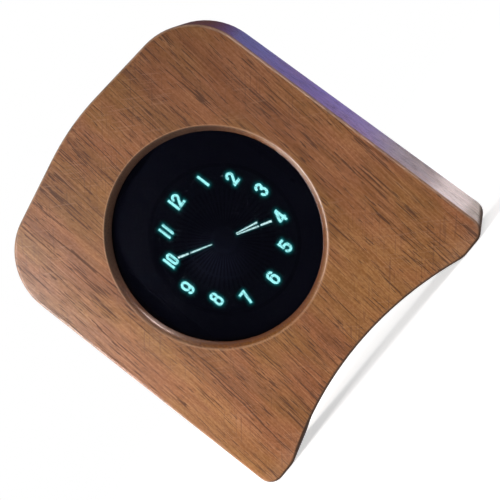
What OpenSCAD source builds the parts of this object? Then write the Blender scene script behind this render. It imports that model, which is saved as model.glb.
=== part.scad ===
// Vacuum fluorescent table clock: a walnut slab case with a round smoked window, a flat
// display tube, its drive board, a recessed rear cover and three push buttons.
// The front faces -Y, the feet stand on Z = 0 and X points to the viewer's right.
// Places along the depth are counted from the front face and turned into Y by at().

/* [Case outline] */
// Wood beside the rear rebate, at the height of the window's centre
case_wall = 4.7; // [4:0.1:7]
// Wood between the rear rebate and the ridge of the roof
roof_wall = 8.2; // [7.4:0.1:12]
// Wood between the rear rebate and the arch
floor_wall = 6.8; // [5.5:0.1:10]
// Slope of each half of the roof, in degrees
roof_slope = 8; // [5:0.5:9]
// Radius of the rounded ridge
ridge_r = 85; // [60:1:110]
// Radius of the two shoulders
shoulder_r = 20.5; // [16:0.5:22]
// Lean of each side, in degrees, wider at the bottom
side_lean = 0.6; // [0:0.1:2]
// Radius of the outer edge of each foot
foot_r = 4.5; // [3:0.5:6]
// How far each foot's flat starts inside the half width
foot_w = 9; // [7.5:0.1:13]
// Radius where each foot turns up into the arch
arch_lip_r = 7; // [4:0.5:9]
// Height of the arch between the feet
arch_rise = 7.7; // [5:0.1:9]
// Depth of the case from front to back, at the ridge
case_d = 17; // [17:0.5:24]
// Slope of the back, in degrees, deeper towards the feet
back_slope = 5.6; // [3:0.1:7]
// Radius of the eased front and back edges
edge_r = 1; // [0.4:0.1:1.6]

/* [Window and lens] */
// Radius of the window's rim at the front face
window_r = 34; // [33:0.1:34.4]
// Width of the sloped rim, seen from the front
rim_w = 1.7; // [1.4:0.1:2.4]
// Depth of the sloped rim
rim_d = 2; // [1.6:0.1:2.6]
// Straight land behind the slope
rim_land = 0.4; // [0.3:0.05:0.6]
// Easing of the rim's front edge
rim_ease = 0.35; // [0.1:0.05:0.6]
// Width of the ledge that the lens bears on
lens_ledge = 0.8; // [0.6:0.1:1.2]
// Thickness of the smoked lens
lens_t = 1.5; // [1.2:0.1:1.8]
// Bevel on the lens's front edge
lens_bevel = 0.3; // [0.1:0.05:0.5]
// Thickness of the gasket in front of the lens
gasket_t = 0.2; // [0.1:0.05:0.4]

/* [Rear pocket and cover] */
// Room for the leads between the tube's shelf and the pocket's wall
lead_room = 2.4; // [2.2:0.1:3]
// Corner radius of the pocket
pocket_r = 18; // [17:0.5:19]
// Width of the ledge that the rear cover lies on
cover_ledge = 3; // [2.6:0.1:3.4]
// Corner radius of the cover's rebate
rebate_r = 17; // [16:0.5:18]
// Thickness of the rear cover
cover_t = 1.4; // [1.2:0.1:1.8]
// How far the cover lies below the back at the top of its rebate
cover_inset = 0.5; // [0.4:0.05:1]
// Head radius of the countersunk cover screws
cover_head_r = 1.75; // [1.5:0.05:1.9]
// Shank radius of the cover screws
cover_shank_r = 0.9; // [0.7:0.05:1.1]
// Length of the cover screws
cover_screw_l = 7; // [5:0.5:9]

/* [Display tube] */
// Width of the tube's glass
tube_w = 70; // [69:0.5:71]
// Height of the tube's face
tube_h = 72; // [71:0.5:73]
// Corner radius of the glass
tube_r = 1.5; // [0.5:0.1:3]
// Thickness of the front glass
face_t = 1.1; // [0.9:0.1:1.3]
// Wall of the side glass
side_wall = 3.2; // [2.5:0.1:4]
// Height of the vacuum space
vacuum_t = 1.6; // [1.5:0.1:1.9]
// Thickness of the base plate
base_t = 1.8; // [1.5:0.1:2.1]
// How far the base plate reaches below the face, under the leads
lead_shelf = 2.4; // [2:0.1:2.8]
// Number of leads
lead_count = 30; // [20:2:32]
// Distance from lead to lead
lead_pitch = 2; // [1.6:0.1:2]
// Width of a lead
lead_w = 0.5; // [0.3:0.05:0.7]
// Thickness of a lead
lead_t = 0.2; // [0.15:0.05:0.3]
// How far the leads stand out behind the board
lead_tail = 0.8; // [0.5:0.1:1.2]
// Radius of the exhaust tip's root
tip_r = 1.8; // [1.4:0.1:2.2]
// Length of the exhaust tip
tip_l = 3.4; // [2.6:0.1:4]

/* [Dial] */
// Distance of the dial's centre below the window's centre
dial_drop = 2.2; // [1.6:0.1:2.6]
// Radius where the inner segments start
inner_r0 = 4.2; // [3.6:0.05:4.8]
// Radius where the inner segments end
inner_r1 = 11.5; // [10.4:0.1:11.8]
// Radius where the outer segments start
outer_r0 = 12.1; // [11.9:0.1:12.6]
// Radius where the outer segments end
outer_r1 = 15.7; // [14.6:0.1:16.2]
// Width of a segment at its inner end
segment_w0 = 0.26; // [0.16:0.02:0.3]
// Width of a segment at its outer end
segment_w1 = 0.66; // [0.4:0.02:0.8]
// Thickness of the phosphor film
phosphor_t = 0.06; // [0.04:0.01:0.1]
// Hour that the dial shows
shown_hour = 3; // [0:1:11]
// Minute that the dial shows
shown_minute = 50; // [0:1:59]
// Second that the dial shows
shown_second = 20; // [0:1:59]

/* [Grid and filaments] */
// Inner radius of the grid's frame
grid_r = 22.4; // [21.8:0.1:24]
// Width of the grid's frame
grid_frame_w = 1.2; // [0.8:0.1:1.6]
// Height of the grid above the base plate
grid_lift = 0.7; // [0.5:0.05:0.8]
// Thickness of the grid's sheet
grid_t = 0.08; // [0.05:0.01:0.12]
// Width of a grid wire
grid_wire_w = 0.07; // [0.05:0.01:0.12]
// Distance from grid wire to grid wire
grid_pitch = 1.6; // [1.4:0.1:2.4]
// Radius of a filament wire
filament_r = 0.04; // [0.03:0.01:0.06]
// Height of the filaments above the base plate
filament_lift = 1.2; // [1.1:0.02:1.3]
// Distance from filament to filament
filament_pitch = 11; // [8:0.5:13]
// Number of filaments
filament_count = 4; // [3:1:4]
// Distance of the filaments' ends from the side glass
filament_end = 4.8; // [4:0.1:6]
// Thickness of the filament supports' sheet metal
support_t = 0.2; // [0.15:0.05:0.25]

/* [Board] */
// Share of the depth left over that the foam pads take; the board's parts get the rest
foam_share = 0.288; // [0.25:0.002:0.33]
// Side of a foam pad
foam_side = 14; // [10:0.5:16]
// Distance of the foam pads from the tube's centre lines
foam_at = 20; // [17:0.5:22]
// Thickness of the board
board_t = 1.6; // [1.2:0.1:1.7]
// Gap between the board and the pocket's wall
board_gap = 0.5; // [0.3:0.1:0.8]
// Radius of the board spacers
spacer_r = 2.5; // [2.2:0.1:2.9]
// Gap between a spacer and the tube
spacer_in = 2.2; // [1.8:0.1:3]
// Gap between a spacer and the pocket's wall
spacer_gap = 1.8; // [1.5:0.1:2.4]
// Height of the spacers above and below the window's centre
spacer_z = 24; // [21:0.5:25]
// Shank radius of the board screws
board_shank_r = 1; // [0.8:0.05:1.2]
// Head radius of the board screws
board_head_r = 1.9; // [1.7:0.05:2.2]
// Head height of the board screws
board_head_h = 1.3; // [1:0.1:1.6]
// How deep the board screws reach into the wood
board_screw_bite = 2.4; // [1.8:0.1:2.6]

/* [Buttons] */
// Distance from button to button
button_pitch = 18; // [14:0.5:20]
// Distance of the buttons below the window's centre
button_drop = 24; // [22:0.5:26]
// Radius of a button's stem
button_r = 2.4; // [2:0.1:2.8]
// How far a button's flange reaches past its stem
flange_w = 0.8; // [0.6:0.1:1]
// Thickness of a button's flange
flange_t = 0.6; // [0.4:0.1:0.7]
// How far a button stands out of the cover
button_proud = 0.4; // [0.2:0.05:0.5]
// Travel of a button
button_travel = 0.3; // [0.2:0.05:0.4]
// Side of a switch body
switch_side = 6; // [5:0.5:6.5]
// Length of a button's heel, between its flange and the plunger
button_heel = 0.2; // [0.1:0.05:0.3]
// Radius of a switch plunger
plunger_r = 1.7; // [1.4:0.1:1.9]
// How far a plunger stands out of its switch
plunger_proud = 0.8; // [0.7:0.05:0.9]
// How deep a plunger sits in its switch, as a share of the height of the switch
plunger_share = 0.36; // [0.3:0.01:0.42]

/* [Power socket] */
// Sheet thickness of the shell
usb_wall = 0.3; // [0.25:0.05:0.35]
// Distance of the socket below the window's centre
usb_drop = 36; // [34.5:0.5:36.5]
// How far the tongue's end lies behind the shell's mouth
tongue_back = 0.8; // [0.5:0.1:1.2]

/* [Electronics] */
// Side of a driver chip
driver_side = 10; // [9:0.5:10]
// Legs on each side of a driver chip
driver_legs = 11; // [9:1:11]
// Side of the microcontroller
micro_side = 7; // [6:0.5:8]
// Legs on each side of the microcontroller
micro_legs = 8; // [6:1:8]
// Side of the clock chip
clock_side = 5; // [4.5:0.1:5.4]
// Legs on each side of the clock chip
clock_legs = 4; // [3:1:4]
// Height of a chip's body
chip_h = 1.4; // [1:0.1:1.8]
// Distance from chip leg to chip leg
leg_pitch = 0.8; // [0.7:0.05:0.8]
// Width of a chip leg
leg_w = 0.35; // [0.25:0.05:0.45]
// Reach of a chip leg
leg_l = 1; // [0.8:0.1:1.2]
// Thickness of a chip leg
leg_t = 0.15; // [0.1:0.05:0.2]
// Radius of the coin cell
cell_r = 10; // [9.5:0.1:10]
// Thickness of the coin cell, as a share of the room behind the board
cell_share = 0.63; // [0.5:0.005:0.65]
// Wall of the cell's holder
holder_wall = 1; // [0.8:0.1:1.2]
// Floor under the cell
holder_floor = 0.6; // [0.4:0.05:0.7]
// Thickness of the spring clip over the cell
clip_t = 0.25; // [0.2:0.05:0.35]
// Width of the spring clip
clip_w = 5; // [4:0.5:7]
// Side of the inductor
coil_side = 6; // [5:0.5:7]
// Height of the inductor, as a share of the room behind the board
coil_share = 0.54; // [0.4:0.01:0.65]
// Radius of a capacitor can
can_r = 2.5; // [2:0.1:2.8]
// Height of a capacitor can, as a share of the room behind the board
can_share = 0.77; // [0.6:0.01:0.8]
// Thickness of a capacitor's foot
can_foot_t = 0.5; // [0.4:0.1:0.7]
// How far a capacitor's foot reaches past its can
can_foot_w = 0.15; // [0.1:0.05:0.3]
// Length of a chip capacitor or resistor
passive_l = 1.6; // [1.2:0.1:1.8]
// Width of a chip capacitor or resistor
passive_w = 0.8; // [0.6:0.1:0.9]
// Height of a chip capacitor
capacitor_h = 0.8; // [0.6:0.1:1]
// Height of a chip resistor
resistor_h = 0.5; // [0.4:0.05:0.6]

/* [Clearances] */
// Gap round the lens
lens_gap = 0.2; // [0.1:0.05:0.3]
// Slack behind the lens
lens_slack = 0.1; // [0.05:0.05:0.2]
// Gap round the rear cover
cover_gap = 0.25; // [0.15:0.05:0.4]
// Gap round a screw in its hole
screw_gap = 0.1; // [0.05:0.05:0.2]
// Running clearance of a button or plunger in its hole
slide_gap = 0.08; // [0.05:0.01:0.1]
// Gap between a button's flange and the cover
flange_gap = 0.3; // [0.2:0.05:0.4]
// Gap round the leads, the exhaust tip and the socket
pass_gap = 0.25; // [0.15:0.05:0.35]
// Gap between the coin cell and its holder
cell_gap = 0.15; // [0.1:0.05:0.2]

/* [Hidden] */
$fn = 64;
// Standard sizes of the power socket: shell, corner and tongue
usb_w = 8.94;
usb_t = 3.26;
usb_r = 1.28;
tongue_w = 6.7;
tongue_t = 0.7;
// Corner radii of moulded pieces: fine ones on chips, plain and soft ones on larger pieces
fine_corner = 0.15;
plain_corner = 0.4;
soft_corner = 1;
// Hand positions round the dial, and those that are lit
hand_steps = 60;
steps_per_hour = hand_steps / 12;
hour_step = floor((shown_hour + shown_minute / 60) * steps_per_hour);
outer_lit = [floor(shown_minute), floor(shown_second)];
inner_lit = concat([hour_step], outer_lit);
// Depth of each layer, counted from the front face
seat_d = rim_d + rim_land;
lens_d = seat_d + gasket_t;
floor_d = lens_d + lens_t + lens_slack;
vacuum_d = floor_d + face_t;
base_d = vacuum_d + vacuum_t;
foam_d = base_d + base_t;
cover_back_d = case_d + roof_wall * tan(back_slope) - cover_inset;
cover_d = cover_back_d - cover_t;
spare = cover_d - foam_d - board_t;
board_d = foam_d + foam_share * spare;
parts_d = board_d + board_t;
parts_room = cover_d - parts_d;
flange_d = cover_d - flange_gap;
plunger_d = flange_d - flange_t - button_heel;
switch_d = plunger_d - plunger_proud;
plunger_seat = plunger_share * (switch_d - parts_d);
button_d = cover_back_d + button_proud;
grid_d = base_d - grid_lift;
filament_d = base_d - filament_lift;
holder_d = parts_d + holder_floor;
clip_d = holder_d + cell_share * parts_room;
coil_h = coil_share * parts_room;
can_h = can_share * parts_room;

// Radii and outlines that follow from the sizes above
sight_r = window_r - rim_w;
lens_r = sight_r + lens_ledge;
spacer_x = tube_w / 2 + spacer_in + spacer_r;
pocket_w = 2 * (spacer_x + spacer_r + spacer_gap);
pocket_h = 2 * (dial_drop + tube_h / 2 + lead_shelf + lead_room);
rebate_w = pocket_w + 2 * cover_ledge;
rebate_h = pocket_h + 2 * cover_ledge;
half_w = rebate_w / 2 + case_wall;
arch_half_w = half_w - foot_w;
window_z = rebate_h / 2 + floor_wall + arch_rise;
ridge_up = rebate_h / 2 + roof_wall;
stand_d = back_d(edge_r);
filament_half = tube_w / 2 - side_wall - filament_end;
dial_z = window_z - dial_drop;
tube_low = dial_z - tube_h / 2;
base_low = tube_low - lead_shelf;
lead_z = base_low - pass_gap - lead_t / 2;
holder_r = cell_r + cell_gap + holder_wall;
diagonal = cos(45);
cover_screw_in = (pocket_r + rebate_r) * (1 - diagonal) / 2 - cover_ledge / 2;
cover_screw_x = pocket_w / 2 - cover_screw_in;
cover_screw_z = pocket_h / 2 - cover_screw_in;

// The case's outline is tangent arcs and straight lines, right half first
roof_n = [sin(roof_slope), cos(roof_slope)];
side_n = [cos(side_lean), sin(side_lean)];
ridge_c = [0, window_z + ridge_up - ridge_r];
roof_k = roof_n * ridge_c + ridge_r;
side_k = side_n * [half_w, window_z];
shoulder_c = crossing(roof_n, roof_k - shoulder_r, side_n, side_k - shoulder_r);
foot_c = crossing([0, 1], foot_r, side_n, side_k - foot_r);
lip_c = [arch_half_w, arch_lip_r];
lip_up = arch_rise - arch_lip_r;
arch_r = (arch_half_w ^ 2 + lip_up ^ 2 - arch_lip_r ^ 2) / (2 * arch_rise);
arch_c = [0, arch_rise - arch_r];
lip_angle = atan2(lip_c[1] - arch_c[1], lip_c[0] - arch_c[0]);
edge_steps = 3;

// Pieces on the board: places from the window's centre, seen from the front
driver_at = [[-14, 6], [-14, 24]];
micro_at = [-31, 2];
clock_at = [6, 27];
crystal_at = [13, 27];
holder_at = [20, 4];
coil_at = [-32, -14];
can_at = [[-31, 14], [33, -15]];
passive_rows = [[-35, 27], [-22, -12], [0, -10], [26, 27]];
passive_gap = 1.4;
passive_count = 4;
foam_signs = [[-1, -1], [1, -1], [-1, 1], [1, 1]];
tip_in = 10;
tip_at = [0, tube_h / 2 - tip_in];
getter_in = 5;
getter_at = [tube_w / 2 - side_wall - getter_in, tube_h / 2 - side_wall - getter_in];

// Where two lines meet, each given by its normal and its distance along it
function crossing(n1, k1, n2, k2) =
    let (det = n1[0] * n2[1] - n1[1] * n2[0])
    [(k1 * n2[1] - n1[1] * k2) / det, (n1[0] * k2 - k1 * n2[0]) / det];

// Points along an arc
function arc(c, r, from, to, steps, first = 0) =
    [for (i = [first:steps])
        let (a = from + (to - from) * i / steps)
        c + r * [cos(a), sin(a)]];

// Right half of the case's outline, drawn in by t, from the ridge down to the arch's top
function half_outline(t) = concat(
    arc(ridge_c, ridge_r - t, 90, 90 - roof_slope, 5),
    arc(shoulder_c, shoulder_r - t, 90 - roof_slope, side_lean, 15),
    arc(foot_c, foot_r - t, side_lean, -90, 7),
    arc(lip_c, arch_lip_r - t, -90, lip_angle - 180, 3),
    arc(arch_c, arch_r + t, lip_angle, 90, 13, 1)
);

// Whole outline, clockwise seen from the front
function outline(t) =
    let (half = half_outline(t), n = len(half))
    concat(half, [for (i = [n - 2:-1:1]) [-half[i][0], half[i][1]]]);

// Rectangle with round corners
function round_rect(w, h, r, steps = 8) =
    [for (q = [0:3])
        let (c = [(q == 0 || q == 3 ? 1 : -1) * (w / 2 - r), (q < 2 ? 1 : -1) * (h / 2 - r)])
        each arc(c, r, 90 * q, 90 * q + 90, steps)];

// Depth of the sloped back at a height
function back_d(z) = case_d + (window_z + ridge_up - z) * tan(back_slope);

// Y of a depth counted from the front face, with the footprint in the middle
function at(d) = d - stand_d / 2;

// Direction of a dial position, clockwise from twelve
function dial_dir(step) = [sin(360 * step / hand_steps), cos(360 * step / hand_steps)];

// Extrudes a front view from one depth to another
module slab(d0, d1) {
    translate([0, at(d1), 0])
        rotate([90, 0, 0])
            linear_extrude(height = d1 - d0)
                children();
}

// Round bar along the depth
module bar(x, z, r, d0, d1) {
    translate([x, at(d1), z])
        rotate([90, 0, 0])
            cylinder(h = d1 - d0, r = r);
}

// Cone along the depth
module cone(x, z, r0, r1, d0, d1) {
    translate([x, at(d1), z])
        rotate([90, 0, 0])
            cylinder(h = d1 - d0, r1 = r1, r2 = r0);
}

// Revolves a profile of radius and depth about an axis along the depth
module turned(x, z, profile) {
    translate([x, at(0), z])
        rotate([-90, 0, 0])
            rotate_extrude()
                polygon(profile);
}

// Block on the board, given in the front view by its centre
module block(x, z, w, h, d0, d1, r) {
    slab(d0, d1)
        translate([x, z])
            polygon(round_rect(w, h, r, 4));
}

// Slab with a sloped back and eased edges, lofted through the outline drawn in step by step
module eased_slab() {
    turns = [for (i = [0:edge_steps]) 90 * i / edge_steps];
    rings = [for (a = turns) [edge_r * (1 - sin(a)), edge_r * (1 - cos(a))]];
    n = len(outline(0));
    last = 2 * len(rings) - 1;
    points = concat(
        [for (ring = rings) for (p = outline(ring[0])) [p[0], at(ring[1]), p[1]]],
        [for (i = [edge_steps:-1:0]) for (p = outline(rings[i][0])) [p[0], at(back_d(p[1]) - rings[i][1]), p[1]]]
    );
    sides = [for (k = [0:last - 1]) for (i = [0:n - 1])
        let (j = (i + 1) % n)
        [k * n + i, (k + 1) * n + i, (k + 1) * n + j, k * n + j]];
    caps = [[for (i = [0:n - 1]) i], [for (i = [n - 1:-1:0]) last * n + i]];
    polyhedron(points = points, faces = concat(sides, caps));
}

// Calls its children at each spacer
module at_spacers() {
    for (sx = [-1, 1])
        for (sz = [-1, 1])
            translate([sx * spacer_x, 0, window_z + sz * spacer_z])
                children();
}

// Calls its children at each cover screw
module at_cover_screws() {
    for (sx = [-1, 1])
        for (sz = [-1, 1])
            translate([sx * cover_screw_x, 0, window_z + sz * cover_screw_z])
                children();
}

// Calls its children at each lead
module at_leads() {
    for (i = [0:lead_count - 1])
        translate([(i - (lead_count - 1) / 2) * lead_pitch, 0, 0])
            children();
}

// Front view of the socket, grown by a margin
module usb_view(grow) {
    translate([0, window_z - usb_drop])
        polygon(round_rect(usb_w + 2 * grow, usb_t + 2 * grow, usb_r + grow, 6));
}

// One hand segment, a bar that widens outward
module segment(step, r0, r1) {
    out = dial_dir(step);
    across = [out[1], -out[0]];
    w0 = segment_w0 + (segment_w1 - segment_w0) * (r0 - inner_r0) / (outer_r1 - inner_r0);
    w1 = segment_w0 + (segment_w1 - segment_w0) * (r1 - inner_r0) / (outer_r1 - inner_r0);
    slab(base_d - phosphor_t, base_d)
        translate([0, dial_z])
            polygon([
                r0 * out - across * w0 / 2, r1 * out - across * w1 / 2,
                r1 * out + across * w1 / 2, r0 * out + across * w0 / 2
            ]);
}

// Case

module wood_case() {
    rim = [
        [0, -1], [window_r + rim_ease, -1], [window_r + rim_ease, 0], [window_r, rim_ease / 2],
        [sight_r, rim_d], [sight_r, seat_d], [lens_r + lens_gap, seat_d],
        [lens_r + lens_gap, floor_d + 1], [0, floor_d + 1]
    ];
    color("saddlebrown")
        difference() {
            eased_slab();
            turned(0, window_z, rim);
            slab(floor_d, stand_d + 1)
                translate([0, window_z])
                    polygon(round_rect(pocket_w, pocket_h, pocket_r));
            slab(cover_d, stand_d + 1)
                translate([0, window_z])
                    polygon(round_rect(rebate_w, rebate_h, rebate_r));
            at_spacers()
                bar(0, 0, board_shank_r + screw_gap, floor_d - board_screw_bite - screw_gap, floor_d + 1);
            at_cover_screws()
                bar(0, 0, cover_shank_r + screw_gap, cover_back_d - cover_screw_l - screw_gap, cover_back_d);
        }
}

module lens_gasket() {
    color("black")
        difference() {
            bar(0, window_z, lens_r, seat_d, lens_d);
            bar(0, window_z, sight_r + gasket_t, seat_d - 1, lens_d + 1);
        }
}

module lens() {
    color([0.1, 0.1, 0.14, 0.5])
        turned(0, window_z, [
            [0, lens_d], [lens_r - lens_bevel, lens_d], [lens_r, lens_d + lens_bevel],
            [lens_r, lens_d + lens_t], [0, lens_d + lens_t]
        ]);
}

module rear_cover() {
    color([0.08, 0.08, 0.08])
        difference() {
            slab(cover_d, cover_back_d)
                translate([0, window_z])
                    polygon(round_rect(
                        rebate_w - 2 * cover_gap, rebate_h - 2 * cover_gap, rebate_r - cover_gap));
            for (i = [-1:1])
                bar(i * button_pitch, window_z - button_drop, button_r + slide_gap, cover_d - 1, cover_back_d + 1);
            slab(cover_d - 1, cover_back_d + 1)
                usb_view(pass_gap);
            at_cover_screws() {
                bar(0, 0, cover_shank_r + screw_gap, cover_d - 1, cover_back_d + 1);
                cone(0, 0, cover_shank_r + screw_gap, cover_head_r + screw_gap,
                    cover_back_d - cover_head_r + cover_shank_r, cover_back_d);
                bar(0, 0, cover_head_r + screw_gap, cover_back_d, cover_back_d + 1);
            }
        }
}

module cover_screws() {
    head_d = cover_back_d - cover_head_r + cover_shank_r;
    recess = cover_head_r * 1.2;
    color("dimgray")
        at_cover_screws()
            difference() {
                turned(0, 0, [
                    [0, cover_back_d - cover_screw_l], [cover_shank_r / 4, cover_back_d - cover_screw_l],
                    [cover_shank_r, cover_back_d - cover_screw_l + 1.5 * cover_shank_r],
                    [cover_shank_r, head_d], [cover_head_r, cover_back_d], [0, cover_back_d]
                ]);
                for (turn = [0, 90])
                    rotate([0, turn, 0])
                        translate([-recess / 2, at(cover_back_d - cover_shank_r / 2), -recess / 8])
                            cube([recess, cover_shank_r, recess / 4]);
            }
}

// Display tube

module tube_front_glass() {
    color([0.7, 0.8, 0.8, 0.3])
        block(0, dial_z, tube_w, tube_h, floor_d, vacuum_d, tube_r);
}

module tube_side_glass() {
    color([0.6, 0.7, 0.7, 0.5])
        difference() {
            block(0, dial_z, tube_w, tube_h, vacuum_d, base_d, tube_r);
            block(0, dial_z, tube_w - 2 * side_wall, tube_h - 2 * side_wall,
                vacuum_d - 1, base_d + 1, tube_r);
        }
}

module tube_base_plate() {
    color([0.05, 0.05, 0.07])
        block(0, dial_z - lead_shelf / 2, tube_w, tube_h + lead_shelf, base_d, foam_d, tube_r);
}

module exhaust_tip() {
    color([0.7, 0.8, 0.8])
        turned(tip_at[0], dial_z + tip_at[1], [
            [0, foam_d], [tip_r, foam_d], [tip_r * 0.8, foam_d + tip_l * 0.5],
            [tip_r * 0.45, foam_d + tip_l * 0.85], [tip_r * 0.15, foam_d + tip_l], [0, foam_d + tip_l]
        ]);
}

module tube_leads() {
    // Each lead lies on the shelf, turns back below the plate's edge and runs through the board
    shelf_d = base_d - lead_t;
    tail_d = parts_d + lead_tail;
    color("silver")
        at_leads()
            translate([-lead_w / 2, 0, 0])
                rotate([90, 0, 90])
                    linear_extrude(height = lead_w)
                        polygon([
                            [at(shelf_d), tube_low], [at(base_d), tube_low],
                            [at(base_d), lead_z + lead_t / 2], [at(tail_d), lead_z + lead_t / 2],
                            [at(tail_d), lead_z - lead_t / 2], [at(shelf_d), lead_z - lead_t / 2]
                        ]);
}

module getter() {
    ring_r = 2.2;
    trough = 0.7;
    post = 0.5;
    color("darkslategray") {
        turned(getter_at[0], dial_z + getter_at[1], [
            [ring_r - trough, grid_d - trough], [ring_r, grid_d - trough],
            [ring_r, grid_d], [ring_r - trough, grid_d]
        ]);
        bar(getter_at[0] + ring_r - post, dial_z + getter_at[1], trough / 2, grid_d - trough / 2, base_d);
    }
}

// The positions that are lit, or those that aren't
function steps_of(lit, wanted) =
    [for (step = [0:hand_steps - 1]) if ((len(search(step, lit)) > 0) == wanted) step];

module inner_segments_unlit() {
    color([0.12, 0.16, 0.16])
        for (step = steps_of(inner_lit, false))
            segment(step, inner_r0, inner_r1);
}

module outer_segments_unlit() {
    color([0.12, 0.16, 0.16])
        for (step = steps_of(outer_lit, false))
            segment(step, outer_r0, outer_r1);
}

module inner_segments_lit() {
    color("aquamarine")
        for (step = steps_of(inner_lit, true))
            segment(step, inner_r0, inner_r1);
}

module outer_segments_lit() {
    color("aquamarine")
        for (step = steps_of(outer_lit, true))
            segment(step, outer_r0, outer_r1);
}

module control_grid() {
    // A frame on four feet, with a row of fine wires stretched across it
    outer = grid_r + grid_frame_w;
    foot_w = grid_frame_w;
    wires = floor((grid_r - grid_pitch / 2) / grid_pitch);
    color("gray") {
        difference() {
            bar(0, dial_z, outer, grid_d, grid_d + grid_t);
            bar(0, dial_z, grid_r, grid_d - 1, grid_d + 1);
        }
        for (i = [-wires:wires]) {
            x = i * grid_pitch;
            reach = sqrt((grid_r + grid_frame_w / 2) ^ 2 - x ^ 2);
            slab(grid_d, grid_d + grid_t)
                translate([x - grid_wire_w / 2, dial_z - reach])
                    square([grid_wire_w, 2 * reach]);
        }
        for (turn = [45:90:315])
            bar((grid_r + foot_w / 2) * cos(turn), dial_z + (grid_r + foot_w / 2) * sin(turn),
                foot_w / 3, grid_d + grid_t / 2, base_d);
    }
}

module at_filaments() {
    for (i = [0:filament_count - 1])
        translate([0, 0, dial_z + (i - (filament_count - 1) / 2) * filament_pitch])
            children();
}

module filament_wires() {
    color("lightgray")
        at_filaments()
            translate([-filament_half, at(filament_d), 0])
                rotate([0, 90, 0])
                    cylinder(h = 2 * filament_half, r = filament_r, $fn = 16);
}

module filament_anchor() {
    strip_w = 2;
    strip_h = filament_pitch * (filament_count - 1) + 4;
    tab_h = 1.6;
    color("silver") {
        slab(base_d - support_t, base_d)
            translate([-filament_half - strip_w, dial_z - strip_h / 2])
                square([strip_w, strip_h]);
        at_filaments()
            slab(filament_d - filament_r * 3, base_d - support_t / 2)
                translate([-filament_half - support_t, -tab_h / 2])
                    square([support_t, tab_h]);
    }
}

module filament_springs() {
    // Leaf springs keep the wires taut: each leans inward from a common strip
    strip_w = 2;
    strip_h = filament_pitch * (filament_count - 1) + 4;
    leaf_h = 1.6;
    lean = 0.6;
    tip_d = filament_d - filament_r * 3;
    color("silver") {
        slab(base_d - support_t, base_d)
            translate([filament_half + lean, dial_z - strip_h / 2])
                square([strip_w, strip_h]);
        at_filaments()
            translate([0, 0, -leaf_h / 2])
                linear_extrude(height = leaf_h)
                    polygon([
                        [filament_half, at(tip_d)], [filament_half + support_t, at(tip_d)],
                        [filament_half + support_t, at(filament_d + filament_r * 3)],
                        [filament_half + lean + 2 * support_t, at(base_d - support_t)],
                        [filament_half + lean + support_t, at(base_d - support_t / 2)],
                        [filament_half + lean, at(base_d - support_t)],
                        [filament_half, at(filament_d + filament_r * 3)]
                    ]);
    }
}

// Board

module foam_pads() {
    color([0.15, 0.15, 0.15])
        for (s = foam_signs)
            block(s[0] * foam_at, dial_z + s[1] * foam_at, foam_side, foam_side,
                foam_d, board_d, soft_corner);
}

module main_board() {
    hole_r = sqrt(lead_w ^ 2 + lead_t ^ 2) / 2 + pass_gap;
    color("darkgreen")
        difference() {
            slab(board_d, parts_d)
                translate([0, window_z])
                    polygon(round_rect(
                        pocket_w - 2 * board_gap, pocket_h - 2 * board_gap, pocket_r - board_gap));
            at_spacers()
                bar(0, 0, board_shank_r + screw_gap, board_d - 1, parts_d + 1);
            at_leads()
                bar(0, lead_z, hole_r, board_d - 1, parts_d + 1);
            bar(tip_at[0], dial_z + tip_at[1], tip_r + pass_gap, board_d - 1, parts_d + 1);
        }
}

module board_spacers() {
    color("ivory")
        at_spacers()
            difference() {
                bar(0, 0, spacer_r, floor_d, board_d);
                bar(0, 0, board_shank_r + screw_gap, floor_d - 1, board_d + 1);
            }
}

module board_screws() {
    tip_d = floor_d - board_screw_bite;
    head_top = parts_d + board_head_h;
    slot_w = board_head_r / 4;
    color("silver")
        at_spacers()
            difference() {
                turned(0, 0, [
                    [0, tip_d], [board_shank_r / 4, tip_d], [board_shank_r, tip_d + 1.5 * board_shank_r],
                    [board_shank_r, parts_d], [board_head_r, parts_d],
                    [board_head_r, head_top - board_head_h / 3],
                    [board_head_r * 0.8, head_top], [0, head_top]
                ]);
                for (turn = [0, 90])
                    rotate([0, turn, 0])
                        translate([-board_head_r / 2, at(head_top - board_head_h / 2), -slot_w / 2])
                            cube([board_head_r, board_head_h, slot_w]);
            }
}

// Square chip body, held off the board by the thickness of its legs
module chip_body(place, side) {
    block(place[0], window_z + place[1], side, side, parts_d + leg_t, parts_d + leg_t + chip_h, fine_corner);
}

// A row of gull-wing legs along one side of a chip
module leg_row(place, side, count, turn) {
    knee_d = parts_d + leg_t + chip_h / 2;
    translate([place[0], 0, window_z + place[1]])
        rotate([0, turn, 0])
            for (i = [0:count - 1])
                translate([0, 0, (i - (count - 1) / 2) * leg_pitch - leg_w / 2])
                    linear_extrude(height = leg_w)
                        polygon([
                            [side / 2, at(knee_d)], [side / 2 + leg_l / 2, at(knee_d)],
                            [side / 2 + leg_l / 2, at(parts_d + leg_t)],
                            [side / 2 + leg_l, at(parts_d + leg_t)], [side / 2 + leg_l, at(parts_d)],
                            [side / 2 + leg_l / 2 - leg_t, at(parts_d)],
                            [side / 2 + leg_l / 2 - leg_t, at(knee_d - leg_t)],
                            [side / 2, at(knee_d - leg_t)]
                        ]);
}

module microcontroller() {
    color([0.1, 0.1, 0.1])
        chip_body(micro_at, micro_side);
}

module driver_chips() {
    color([0.1, 0.1, 0.1])
        for (place = driver_at)
            chip_body(place, driver_side);
}

module clock_chip() {
    color([0.1, 0.1, 0.1])
        chip_body(clock_at, clock_side);
}

module chip_legs() {
    color("silver") {
        for (turn = [0:90:270]) {
            leg_row(micro_at, micro_side, micro_legs, turn);
            for (place = driver_at)
                leg_row(place, driver_side, driver_legs, turn);
        }
        for (turn = [0, 180])
            leg_row(clock_at, clock_side, clock_legs, turn);
    }
}

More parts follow.
